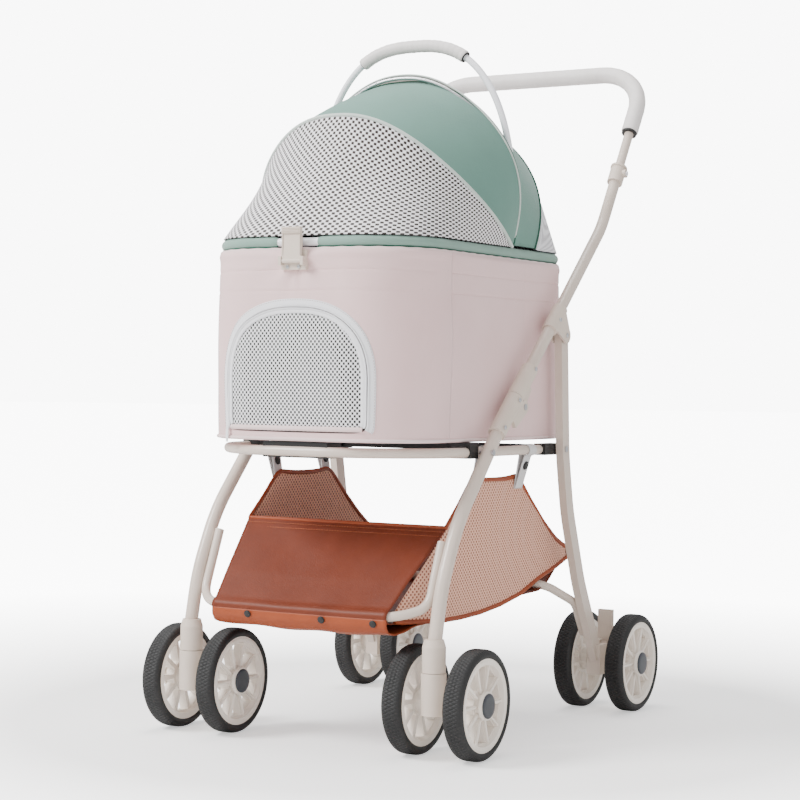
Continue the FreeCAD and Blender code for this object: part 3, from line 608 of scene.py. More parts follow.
TUBE_PAINT = PowderCoat("powder_coated_tube", "#D2C4B8", "#C8B9AC")
FITTING = MouldedPlastic("cream_nylon", "#D6C8BB", "#CCBDAF")
RIM_PLASTIC = MouldedPlastic("cream_rim_nylon", "#F0E8DF", "#E8DFD4", rough=0.45)
BLACK_PLASTIC = MouldedPlastic("black_nylon", "#0C0C0D", "#141415")
CHARCOAL_CAP = MouldedPlastic("charcoal_cap_abs", "#2C3036", "#353A41", rough=0.4)
WHITE_PAINT = PowderCoat("white_powder_coat", "#F6F6FA", "#F0F0F5")
STEEL = PlatedSteel("zinc_plated_steel", "#C9CACC", "#B4B6B8")
TYRE_RUBBER = Rubber("moulded_tyre_rubber", "#0A0A0B", "#121213")
RING_RUBBER = Rubber("grip_ring_rubber", "#161616", "#202020")
GRIP_LEATHER = Leather("grip_leatherette", "#E4DFDD", "#D8D2CF", grain_mm=1.6)
TERRACOTTA = Leather("basket_leatherette", "#6B2D16", "#5F2712", grain_mm=1.5, shine=0.25)
BINDING = Leather("rust_binding", "#944626", "#863D20", grain_mm=1.5, shine=0.25)
PINK_CLOTH = Woven("dusty_pink_cloth", "#E8C9C8", "#DFBDBC")
PINK_PIPING = Woven("pink_piping_cloth", "#EAD3D2", "#E0C8C6", thread_mm=0.8)
PAD_CLOTH = Woven("pad_cloth", "#CFC6C0", "#C2B8B1", thread_mm=1.6)
SAGE_CLOTH = Woven("sage_cloth", "#5F8A7D", "#588074")
SAGE_WRAP = Woven("sage_ring_wrap", "#7E9C90", "#759287")
GREEN_PIPING = Woven("dark_green_piping", "#1F5443", "#194838", thread_mm=0.8)
PALE_STRIP = Woven("pale_edge_strip", "#D9CFC8", "#CEC4BC", thread_mm=0.9)
PALE_SAGE_PIPING = Woven("pale_sage_piping", "#C9D2CC", "#B8C4BD", thread_mm=0.8)
WEBBING = Woven("grey_webbing", "#DAD9D9", "#C9C8C8", thread_mm=1.6)
ZIP_TAPE = Woven("white_zip_tape", "#F0F0F3", "#E6E6EA", thread_mm=0.9)
ZIP_COIL = MouldedPlastic("white_zip_coil", "#F4F4F6", "#E9E9EC", rough=0.4)
PINK_THREAD = Woven("pink_thread", "#B9A6A5", "#AF9B9A", thread_mm=0.6)
GREY_THREAD = Woven("grey_thread", "#A9A39F", "#9E9894", thread_mm=0.6)
RUST_THREAD = Woven("rust_thread", "#B9693F", "#A85C35", thread_mm=0.6)
# The meshes' second colours are painted shade: the dim inside seen through their holes.
CANOPY_MESH = SpacerMesh("white_canopy_mesh", "#F1EEF0", "#2C2220", pitch_mm=(8.0, 9.2), open_above=0.08)
DOOR_MESH = SpacerMesh("white_door_mesh", "#EFEFF1", "#1C181A", pitch_mm=(6.4, 7.4), open_above=0.1)
REAR_MESH = SpacerMesh("grey_rear_mesh", "#E4E4E8", "#A9A7AC", pitch_mm=(8.0, 8.0), open_above=0.35)
TAN_MESH = SpacerMesh("tan_basket_mesh", "#E6AE93", "#8A4A34", pitch_mm=(7.5, 7.5), open_above=0.30)


# ------------------------------------------------------------------ carrier outline

@dataclass(frozen=True)
class Plan:
    """The carrier's outline from above: a rectangle with round corners.

    A point is found by its distance round the outline from the middle of the front,
    positive on the +x side.
    """

    half: float = 175.0
    front: float = -80.0
    back: float = 420.0
    front_bend: float = 105.0
    rear_bend: float = 60.0

    def trace(self) -> tuple[np.ndarray, np.ndarray, np.ndarray]:
        """Points, outward directions and running length of the +x half."""
        turn = np.linspace(-np.pi / 2, 0, 48)
        out_front = np.stack([np.cos(turn), np.sin(turn)], axis=1)
        out_rear = np.stack([np.cos(turn + np.pi / 2), np.sin(turn + np.pi / 2)], axis=1)
        front_centre = np.array([self.half - self.front_bend, self.front + self.front_bend])
        rear_centre = np.array([self.half - self.rear_bend, self.back - self.rear_bend])
        points = np.concatenate([[[0.0, self.front]], front_centre + out_front * self.front_bend,
                                 rear_centre + out_rear * self.rear_bend, [[0.0, self.back]]])
        outward = np.concatenate([[[0.0, -1.0]], out_front, out_rear, [[0.0, 1.0]]])
        run = np.concatenate([[0.0], np.cumsum(np.linalg.norm(np.diff(points, axis=0), axis=1))])
        return points, outward, run

    def length(self) -> float:
        """Distance from the middle of the front round to the middle of the back."""
        return float(self.trace()[2][-1])

    def at(self, distance: np.ndarray, up: np.ndarray, offset: np.ndarray | float) -> np.ndarray:
        """Points at a distance round, a height, and an offset outwards from the outline."""
        points, outward, run = self.trace()
        whole = 2 * run[-1]
        wrapped = (distance + run[-1]) % whole - run[-1]
        side = np.where(wrapped < 0, -1.0, 1.0)
        x, y = (np.interp(np.abs(wrapped), run, points[:, k]) for k in (0, 1))
        out_x, out_y = (np.interp(np.abs(wrapped), run, outward[:, k]) for k in (0, 1))
        size = np.hypot(out_x, out_y)
        return np.stack([side * (x + out_x / size * offset), y + out_y / size * offset,
                         np.broadcast_to(up, np.shape(x))], axis=-1)


PLAN = Plan()


def wall_relief(distance: np.ndarray, up: np.ndarray) -> np.ndarray:
    """How far the padded wall stands out: crown, sewn grooves, soft folds and a pinch.

    The crown is a half sine over the height; each seam is a narrow bell-shaped groove;
    the folds are products of sines; near the latch short folds fan out and die away.
    """
    crown = 2.2 * np.sin(np.pi * (up - 422.0) / 263.0)
    seams = sum(np.exp(-((up - level) / 1.5) ** 2) for level in (656.0, 628.0))
    upright = np.exp(-((np.abs(distance) - 470.0) / 1.8) ** 2)
    folds = (0.7 * np.sin(distance / 37.0 + 1.0) * np.sin(up / 29.0 + distance / 160.0)
             + 0.35 * np.sin(distance / 17.0 + up / 23.0))
    away = np.hypot(distance, (up - 672.0) * 1.3)
    pinch = 2.2 * np.exp(-(away / 55.0) ** 2) * np.cos(7 * np.arctan2(up - 672.0, np.abs(distance) + 1e-6))
    lip = 1.6 * np.exp(-((up - 678.0) / 5.0) ** 2)
    return crown + folds * np.sin(np.pi * np.clip((up - 422.0) / 263.0, 0, 1)) + pinch + lip \
        - 1.1 * seams - 0.9 * upright


def wall_skin(distance: np.ndarray, up: np.ndarray, lift: float | np.ndarray = 0.0) -> np.ndarray:
    """Points on the padded wall, lifted off it by `lift`."""
    return PLAN.at(distance, up, wall_relief(distance, up) - 0.6 + lift)


@dataclass(frozen=True)
class Arch:
    """The doorway's outline round its middle: an arched top on a flatter bottom."""

    half: float = 112.0
    middle: float = 500.0
    top: float = 605.0
    low: float = 436.0
    top_power: float = 2.5
    low_power: float = 14.0

    def reach(self, turn: np.ndarray) -> np.ndarray:
        """Distance from the middle: a superellipse, with its own power above and below."""
        above = np.sin(turn) >= 0
        power = np.where(above, self.top_power, self.low_power)
        tall = np.where(above, self.top - self.middle, self.middle - self.low)
        return (np.abs(np.cos(turn) / self.half) ** power + np.abs(np.sin(turn) / tall) ** power) ** (-1 / power)

    def at(self, turn: np.ndarray, share: np.ndarray | float = 1.0,
           out: np.ndarray | float = 0.0) -> tuple[np.ndarray, np.ndarray]:
        """Distance round the carrier and height at a turn, scaled and moved outwards."""
        away = self.reach(turn) * share + out
        return away * np.cos(turn), self.middle + away * np.sin(turn)


# ------------------------------------------------------------------ carrier

@dataclass
class Carrier:
    """The padded cloth tub with its doorway surround, piping, seams, zip tape and cushion."""

    low: float = 423.5
    high: float = 684.0
    surround: float = 250.0
    arch: Arch = Arch()

    def levels(self) -> np.ndarray:
        """Heights of the wall's rows, closer together at the seams and the lip."""
        fine = np.concatenate([level + np.array([-3.0, -1.5, 0.0, 1.5, 3.0]) for level in (656.0, 628.0)])
        return np.unique(np.concatenate([np.linspace(self.low, self.high, 40), fine]))

    def surround_patch(self) -> Surface:
        """The front wall round the doorway: from the arch out to a rectangle, by a share."""
        wide, centre = self.surround, self.arch.middle
        corners = np.arctan2(np.array([self.high - centre, self.high - centre, self.low - centre,
                                       self.low - centre]), np.array([wide, -wide, -wide, wide]))
        turn = np.unique(np.concatenate([np.linspace(-np.pi, np.pi, 241)[:-1], corners]))
        tall = np.where(np.sin(turn) > 0, self.high - centre, centre - self.low)
        edge = np.minimum(wide / np.maximum(np.abs(np.cos(turn)), 1e-6),
                          tall / np.maximum(np.abs(np.sin(turn)), 1e-6))
        inner = self.arch.reach(turn) + 1.0
        share = np.linspace(0.0, 1.0, 44)[:, None]
        away = inner + (edge - inner) * share
        distance, up = away * np.cos(turn), centre + away * np.sin(turn)
        return Surface(wall_skin(distance, up), wrap_columns=True, flat=np.stack([distance, up], axis=-1))

    def wrap_patch(self) -> Surface:
        """The rest of the wall, from one side of the surround round the back to the other."""
        whole = 2 * PLAN.length()
        around = np.unique(np.concatenate([np.linspace(self.surround, whole - self.surround, 170),
                                           470.0 + np.linspace(-4, 4, 5),
                                           whole - 470.0 + np.linspace(-4, 4, 5)]))
        distance, up = np.meshgrid(around, self.levels(), indexing="ij")
        return Surface(wall_skin((distance + whole / 2) % whole - whole / 2, up),
                       flat=np.stack([distance, up], axis=-1))

    def loop(self, up: float, lift: float, count: int = 400) -> np.ndarray:
        """A level line round the wall."""
        distance = np.linspace(-PLAN.length(), PLAN.length(), count, endpoint=False)
        return wall_skin(distance, np.full(count, up), lift)

    def base(self) -> Surface:
        """The bottom cloth: rings of the outline drawn in towards the middle."""
        distance = np.linspace(-PLAN.length(), PLAN.length(), 120, endpoint=False)
        rim = PLAN.at(distance, np.full(120, 424.0), -1.5)
        centre = np.array([0.0, 170.0, 424.0])
        share = np.linspace(1.0, 0.0, 12)[:, None, None]
        return Surface(centre + (rim - centre) * share, wrap_columns=True)

    def cushion(self) -> Surface:
        """The cushion: its rim drawn in, its top crowned by a power of the share from the rim."""
        distance = np.linspace(-PLAN.length(), PLAN.length(), 160, endpoint=False)
        rim = PLAN.at(distance, np.full(160, 0.0), -13.0)
        centre = np.array([0.0, 170.0, 0.0])
        share = np.concatenate([np.linspace(0, 1, 14), np.linspace(1, 1.02, 3)[1:-1], np.linspace(1, 0, 22)])
        height = np.concatenate([np.full(14, 430.8), [440.0],
                                 446.0 + 12.0 * (1 - np.linspace(1, 0, 22) ** 2.6)])
        tuft = 2.2 * np.cos((rim[:, 0] / 42.0)) * np.cos(rim[:, 1] / 42.0)
        points = centre + (rim - centre) * share[:, None, None]
        points[..., 2] = height[:, None] + np.where(height > 446, 1.0, 0.0)[:, None] * tuft * (share * (1 - share) * 3)[:, None]
        return Surface(points, wrap_columns=True)

    def build(self) -> None:
        """Make and dress the tub."""
        walls = make_object("carrier_walls", [self.surround_patch(), self.wrap_patch()], PINK_CLOTH, wall=3.0)
        put(walls, Body.CARRIER, "carrier_shell", slot="pink_fabric")
        put(make_object("carrier_base_cloth", [self.base()], PINK_CLOTH, solid=True, wall=2.0), Body.CARRIER)
        cushion = make_object("carrier_cushion", [self.cushion()], PAD_CLOTH, solid=True)
        put(cushion, Body.CARRIER, "carrier_pad", slot="pink_fabric")
        up = np.array([0.0, 0.0, 1.0])
        piping = [tube(self.loop(426.0, 1.6), 2.5, up, sides=10, closed=True),
                  tube(self.loop(684.0, -1.5), 2.8 + 0.3 * np.sin(np.arange(400) * 0.9), up, sides=10, closed=True)]
        put(make_object("carrier_piping", piping, PINK_PIPING), Body.CARRIER)
        rows = [beads(self.loop(level, 0.7), unit(self.loop(level, 3.0) - self.loop(level, 0.0)), 4.2, 2.7, 0.6,
                      closed=True) for level in (658.6, 630.6)]
        rise = np.linspace(432.0, 650.0, 60)
        for distance in (475.0, -475.0):
            line = wall_skin(np.full(60, distance), rise, 0.4)
            rows.append(beads(line, wall_skin(np.full(60, distance), rise, 3.0) - line, 4.2, 2.7, 0.6))
        put(make_object("carrier_stitches", rows, PINK_THREAD), Body.CARRIER)
        self.build_zip()

    def build_zip(self) -> None:
        """The fixed half of the door's zip: its tape, its coil and the pull."""
        turn = np.radians(np.linspace(-28.5, 208.5, 300))
        tape = []
        for out in np.linspace(1.0, 12.0, 7):
            distance, up = self.arch.at(turn, out=out)
            tape.append(wall_skin(distance, up, 2.6 - 0.9 * ((out - 6.5) / 5.5) ** 2))
        put(make_object("door_zip_tape", [Surface(np.stack(tape, axis=1))], ZIP_TAPE, wall=0.8), Body.CARRIER)
        fine = np.radians(np.linspace(-28.0, 208.0, 1500))
        distance, up = self.arch.at(fine, out=2.2)
        line = wall_skin(distance, up, 3.0)
        out = unit(wall_skin(distance, up, 6.0) - line)
        coil = tube(line, 1.35 + 0.3 * np.sin(np.arange(1500) * np.pi / 2 + 0.4), out, sides=6)
        edge_d, edge_u = self.arch.at(turn, out=10.4)
        seam = wall_skin(edge_d, edge_u, 2.9)
        stitches = beads(seam, wall_skin(edge_d, edge_u, 6.0) - seam, 4.0, 2.6, 0.55)
        put(make_object("door_zip_coil", [coil], ZIP_COIL), Body.CARRIER)
        put(make_object("door_zip_stitches", [stitches], PINK_THREAD), Body.CARRIER)
        self.build_pull()

    def build_pull(self) -> None:
        """The zip's slider and its hanging pull, at the doorway's lower right corner."""
        distance, up = self.arch.at(np.radians(np.array([207.0, 205.0])), out=1.0)
        place = wall_skin(distance, up, 4.6)
        outward = unit(wall_skin(distance, up, 8.0) - place)[0]
        slider = tube(np.linspace(place[0] - [0, 0, 6], place[0] + [0, 0, 6], 6), np.array([2.2, 3.6, 4.2, 4.2, 3.6, 2.4]),
                      outward, sides=12, squash=0.5)
        drop = place[0] + outward * 1.6 + np.array([0, 0, -1.0]) * np.linspace(0, 24, 14)[:, None]
        width = 1.6 + 1.6 * np.sin(np.linspace(0.2, np.pi - 0.3, 14)) ** 0.6
        pull = tube(drop, width, outward, sides=12, squash=0.35)
        put(make_object("door_zip_pull", [slider, pull], ZIP_COIL), Body.CARRIER)


@dataclass
class Door:
    """The mesh flap in the doorway, with the moving half of its zip."""

    arch: Arch = Arch()

    def build(self) -> None:
        """Make and dress the flap."""
        turn = np.linspace(-np.pi, np.pi, 160, endpoint=False)
        share = np.concatenate([np.linspace(0.0, 0.9, 26), np.linspace(0.92, 1.0, 5)])[:, None]
        distance, up = self.arch.at(turn, share, 0.0)
        distance, up = distance * 0.985, self.arch.middle + (up - self.arch.middle) * 0.985
        puff = 2.2 * (1 - share ** 2) + 0.5 * np.sin(distance / 21.0) * np.sin(up / 26.0)
        leaf = Surface(wall_skin(distance, up, puff + 0.4), wrap_columns=True,
                       flat=np.stack([distance, up], axis=-1))
        flap = make_object("door_mesh_flap", [leaf], DOOR_MESH, solid=True, wall=1.4)
        put(flap, Body.DOOR, "front_door", slot="white_mesh")
        around = np.radians(np.linspace(-28.0, 208.0, 300))
        tape = []
        for out in np.linspace(-8.0, -1.0, 6):
            d, u = self.arch.at(around, out=out)
            tape.append(wall_skin(d, u, 2.8 - 0.8 * ((out + 4.5) / 3.5) ** 2))
        put(make_object("door_flap_tape", [Surface(np.stack(tape, axis=1))], ZIP_TAPE, wall=0.8), Body.DOOR)
        fine = np.radians(np.linspace(-27.5, 207.5, 1500))
        d, u = self.arch.at(fine, out=-1.2)
        line = wall_skin(d, u, 3.0)
        coil = tube(line, 1.35 + 0.3 * np.sin(np.arange(1500) * np.pi / 2), unit(wall_skin(d, u, 6.0) - line), sides=6)
        put(make_object("door_flap_coil", [coil], ZIP_COIL), Body.DOOR)
        hem_d = np.linspace(-106.0, 106.0, 60)
        hem = wall_skin(hem_d, np.full(60, 440.5), 1.9)
        put(make_object("door_hem", [tube(hem, 3.4, np.array([0.0, 0.0, 1.0]), sides=10, squash=1.0)],
                        PINK_PIPING), Body.DOOR)


# ------------------------------------------------------------------ canopy

@dataclass(frozen=True)
class Bow:
    """A bow that arches over the carrier.

    Its outline is a superellipse in a plane leaning about its pivots: the rise is the
    cosine of the turn to a power, the side the sine to the same power; shoulders swell
    sideways and lean out of the plane with the sine of the rise.
    """

    pivot: float
    lean: float
    height: float
    power: float
    swell: float = 0.0
    set_off: float = 0.0
    half: float = 170.0
    pivot_up: float = 702.0

    def points(self, count: int, foot: float = 4.0, lift: float = 0.0, reach: float = 1.0) -> np.ndarray:
        """Points from one foot to the other, moved outwards by `lift`."""
        lean = math.radians(self.lean)
        last = math.acos((foot / (self.height * math.cos(lean))) ** (self.power / 2)) * reach
        turn = np.linspace(-last, last, count)
        rise = np.abs(np.cos(turn)) ** (2 / self.power)
        shoulder = np.sin(np.pi * rise)
        side = np.sign(turn) * np.abs(np.sin(turn)) ** (2 / self.power)
        out, off = (self.height + lift) * rise, self.set_off * shoulder
        return np.stack([(self.half + lift) * side * (1 + self.swell * shoulder),
                         self.pivot + out * math.sin(lean) + off * math.cos(lean),
                         self.pivot_up + out * math.cos(lean) - off * math.sin(lean)], axis=-1)


FRONT_BOW = Bow(231.0, -50.8, 278.0, 2.36, 0.147, -29.9)
MIDDLE_BOW = Bow(231.0, -7.4, 258.6, 2.22, 0.164)
INNER_BOW = Bow(231.0, -6.4, 248.0, 2.45, 0.14)
REAR_BOW = Bow(300.0, 17.2, 209.8, 1.99, 0.06)
CARRY_BOW = Bow(240.0, -1.5, 304.0, 2.7, 0.03, half=164.0)


def between(first: np.ndarray, last: np.ndarray, columns: int, swell: float = 0.0) -> Surface:
    """Cloth between two edges: the straight mean, swelled outwards by a half sine."""
    share = np.linspace(0.0, 1.0, columns)[None, :, None]
    points = first[:, None] + (last - first)[:, None] * share
    middle = np.array([0.0, 200.0, 702.0])
    rise = np.clip((points[..., 2:] - 702.0) / 200.0, 0.0, 1.0)
    points = points + unit(points - middle) * swell * np.sin(np.pi * share) * rise
    run = np.cumsum(np.linalg.norm(np.diff(points, axis=0, prepend=points[:1]), axis=-1), axis=0)
    run = run - run[len(run) // 2]
    across = np.cumsum(np.linalg.norm(np.diff(points, axis=1, prepend=points[:, :1]), axis=-1), axis=1)
    return Surface(points, flat=np.stack([run, across], axis=-1))


@dataclass
class Canopy:
    """The lid's wrapped ring, and the cloth, mesh, strips and piping on its bows."""

    ring_up: float = 694.5
    bare: float = 33.0

    def rim(self, start: float, count: int, lift: float, front: bool) -> np.ndarray:
        """Points along the rim, front or rear, matched from side to side with a bow."""
        share = np.linspace(-1.0, 1.0, count)
        if front:
            distance = start * np.sign(share) * np.abs(share) ** 1.8
        else:
            distance = np.sign(share) * (PLAN.length() - (PLAN.length() - start) * np.abs(share))
            distance = np.where(share == 0, PLAN.length(), distance)
        return PLAN.at(distance, np.full(count, 703.4), lift)

    def build(self) -> None:
        """Make and dress the lid and canopy."""
        self.build_ring()
        count = 121
        front, inner, middle, rear = (bow.points(count) for bow in (FRONT_BOW, INNER_BOW, MIDDLE_BOW, REAR_BOW))
        veil = between(self.rim(431.0, count, -3.0, True), front, 40, -12.0)
        around = 260.0 * np.arctan2(veil.points[..., 0], 300.0 - veil.points[..., 1])
        veil.flat = np.stack([around, veil.flat[..., 1]], axis=-1)
        mesh = make_object("canopy_front_mesh", [veil], CANOPY_MESH, wall=1.2)
        put(mesh, None, "front_mesh", slot="white_mesh")
        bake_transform(mesh)
        panel = make_object("canopy_front_cloth", [between(front, inner, 30, 3.0)], SAGE_CLOTH, wall=1.0)
        put(panel, None, "canopy_front_panel", slot="sage_fabric")
        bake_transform(panel)
        put(make_object("canopy_edge_strip", [between(inner, middle, 8, 1.2)], PALE_STRIP, wall=1.0), Body.LID)
        cloth = make_object("canopy_rear_cloth", [between(middle, rear, 24, 1.0)], SAGE_CLOTH, wall=1.0)
        put(cloth, Body.LID, "canopy_rear_panel", slot="sage_fabric")
        back = make_object("canopy_rear_mesh", [between(rear, self.rim(519.0, count, -3.0, False), 30, 0.0)],
                           REAR_MESH, wall=1.2)
        put(back, Body.LID, "rear_mesh", slot="white_mesh")
        side = np.array([0.0, 1.0, 0.15])
        piping = [tube(INNER_BOW.points(161, 3.0, 0.6), 1.7, side, sides=8),
                  tube(REAR_BOW.points(161, 3.0, 0.8), 1.9, side, sides=8)]
        put(make_object("canopy_piping", piping, GREEN_PIPING), Body.LID)
        put(make_object("canopy_crest_piping", [tube(MIDDLE_BOW.points(161, 3.0, 0.2), 1.4, side, sides=8)],
                        PALE_SAGE_PIPING), Body.LID)
        edge = [tube(FRONT_BOW.points(161, 3.0, 0.6), 2.5, side, sides=12)]
        put(make_object("canopy_front_piping", edge, PALE_SAGE_PIPING), Body.CANOPY_FRONT)

    def build_ring(self) -> None:
        """The lid's ring: a bare white tube, its cloth wrap with a gap at the latch, and piping."""
        whole = 2 * PLAN.length()
        loop = np.linspace(0.0, whole, 420, endpoint=False)
        up = np.array([0.0, 0.0, 1.0])
        bare = PLAN.at(loop, np.full(420, self.ring_up), -8.0)
        put(make_object("lid_ring_tube", [tube(bare, 6.2, up, sides=14, closed=True)], WHITE_PAINT),
            Body.LID, "lid_ring", slot="green_piping")
        wrap = np.linspace(self.bare, whole - self.bare, 420)
        line = PLAN.at(wrap, np.full(420, self.ring_up), -8.0)
        size = 7.9 - 1.0 * np.exp(-((np.abs(wrap - whole / 2) - whole / 2 + self.bare) / 4.0) ** 2) \
            + 0.12 * np.sin(wrap / 7.0)
        seam = PLAN.at(wrap, np.full(420, self.ring_up - 6.6), -3.6)
        put(make_object("lid_ring_wrap", [tube(line, size, up, sides=20)], SAGE_WRAP), Body.LID)
        put(make_object("lid_ring_piping", [tube(seam, 1.5, up, sides=8)], GREEN_PIPING), Body.LID)


# ------------------------------------------------------------------ handles and latch

@dataclass
class PushBarGrip:
    """The stitched leatherette sleeve on the push bar."""

    radius: float = 13.3
    bend: float = 80.0

    def centre_line(self, count: int) -> np.ndarray:
        """Straight, a quarter-like bend, across, and back: corners rounded by true arcs."""
        slope = math.radians(57.5)
        along = np.array([0.0, math.cos(slope), math.sin(slope)])
        collar = np.array([200.0, 472.0, 748.0]) + along * 105.0
        low, corner = collar + along * 83.0, collar + along * 206.8
        turn = np.linspace(0.0, np.pi / 2, 60)[:, None]
        centre = corner - along * self.bend + np.array([-self.bend, 0.0, 0.0])
        arc = centre + self.bend * (np.cos(turn) * np.array([1.0, 0, 0]) + np.sin(turn) * along)
        left = np.concatenate([[low], arc])
        return resample(np.concatenate([left, left[::-1] * np.array([-1.0, 1.0, 1.0])]), count)

    def build(self) -> None:
        """Make and dress the sleeve, its seam and its stitches."""
        line = self.centre_line(520)
        slope = math.radians(57.5)
        square = np.array([0.0, -math.sin(slope), math.cos(slope)])
        ripple = 0.10 * np.sin(np.arange(520) * 0.37) + 0.07 * np.sin(np.arange(520) * 1.1 + 0.6)
        ends = np.minimum(1.0, np.arange(520)[:, None] / 2.0) * np.minimum(1.0, np.arange(520)[::-1, None] / 2.0)
        turn = np.linspace(0.0, 2 * np.pi, 40, endpoint=False)
        seam = -0.9 * np.exp(-(((turn - 1.25 * np.pi) + np.pi) % (2 * np.pi) - np.pi) ** 2 / 0.012)
        radius = (self.radius + ripple)[:, None] + seam[None, :] - 1.0 * (1 - ends)
        sleeve = tube(line, radius, square, sides=40)
        put(make_object("push_bar_grip", [sleeve], GRIP_LEATHER), Body.HANDLE, "handle_grip", slot="grip_leather")
        along = tangents(line)
        second = np.cross(along, np.broadcast_to(square, along.shape))
        outward = unit(math.cos(1.25 * math.pi) * square + math.sin(1.25 * math.pi) * unit(second))
        path = line + outward * (self.radius - 0.5)
        rows = [beads(path, outward, 4.4, 5.4, 1.0, tilt=angle) for angle in (52.0,)]
        put(make_object("push_bar_stitches", rows, GREY_THREAD), Body.HANDLE)


@dataclass
class CarryGrip:
    """The stitched sleeve on the carry hoop."""

    radius: float = 9.3

    def build(self) -> None:
        """Make and dress the sleeve, its stitches and its end rims."""
        line = resample(CARRY_BOW.points(260, 12.0, 0.0, 0.28), 260)
        side = np.array([0.0, 1.0, 0.0])
        near_end = np.minimum(1.0, np.minimum(np.arange(260), np.arange(260)[::-1]) / 3.0)
        ripple = 0.12 * np.sin(np.arange(260) * 0.5) + 0.1 * np.sin(np.arange(260) * 0.21)
        sleeve = tube(line, self.radius * (0.93 + 0.07 * near_end) + ripple, side, sides=28)
        put(make_object("carry_hoop_grip", [sleeve], GRIP_LEATHER), Body.CARRY_HANDLE, "carry_grip",
            slot="grip_leather")
        below = unit(np.cross(tangents(line), np.broadcast_to(side, line.shape)))
        below = below * np.sign(-below[:, 2:])
        out = unit(below + side * -0.45)
        put(make_object("carry_hoop_stitches", [beads(line + out * (self.radius + 0.1), out, 3.4, 4.4, 0.8, tilt=50.0)],
                        GREY_THREAD), Body.CARRY_HANDLE)
        rims = [tube(np.linspace(line[k], line[k] + (line[k] - line[k + step]) * 1.2, 4), self.radius - 0.6, side,
                     sides=24) for k, step in ((0, 1), (-1, -1))]
        put(make_object("carry_hoop_rims", rims, RING_RUBBER), Body.CARRY_HANDLE)


@dataclass
class Latch:
    """Ribs on the latch lever's tab, and its screws."""

    front: float = -91.0

    def build(self) -> None:
        """Make and dress the ribs and the screw heads."""
        ribs = [tube(np.array([[-13.5, self.front - 4.2, up], [0.0, self.front - 4.3, up], [13.5, self.front - 4.2, up]]),
                     0.7, np.array([0.0, 0.0, 1.0]), sides=8) for up in (706.4, 708.4, 710.4, 712.4)]
        cheeks = [tube(np.array([[x, self.front - 2.0, 676.0], [x, self.front - 2.4, 692.0], [x, self.front - 2.4, 703.5]]),
                       1.0, np.array([1.0, 0.0, 0.0]), sides=8) for x in (-14.0, 14.0)]
        put(make_object("latch_ribs", ribs + cheeks, FITTING), Body.LATCH)
        heads = [dome((x, -93.9 + 6.5, 660.0), (0, -1, 0), 2.6, 1.4) for x in (-9.0, 9.0)]
        put(make_object("latch_screws", heads, STEEL), Body.CARRIER)


# ------------------------------------------------------------------ basket

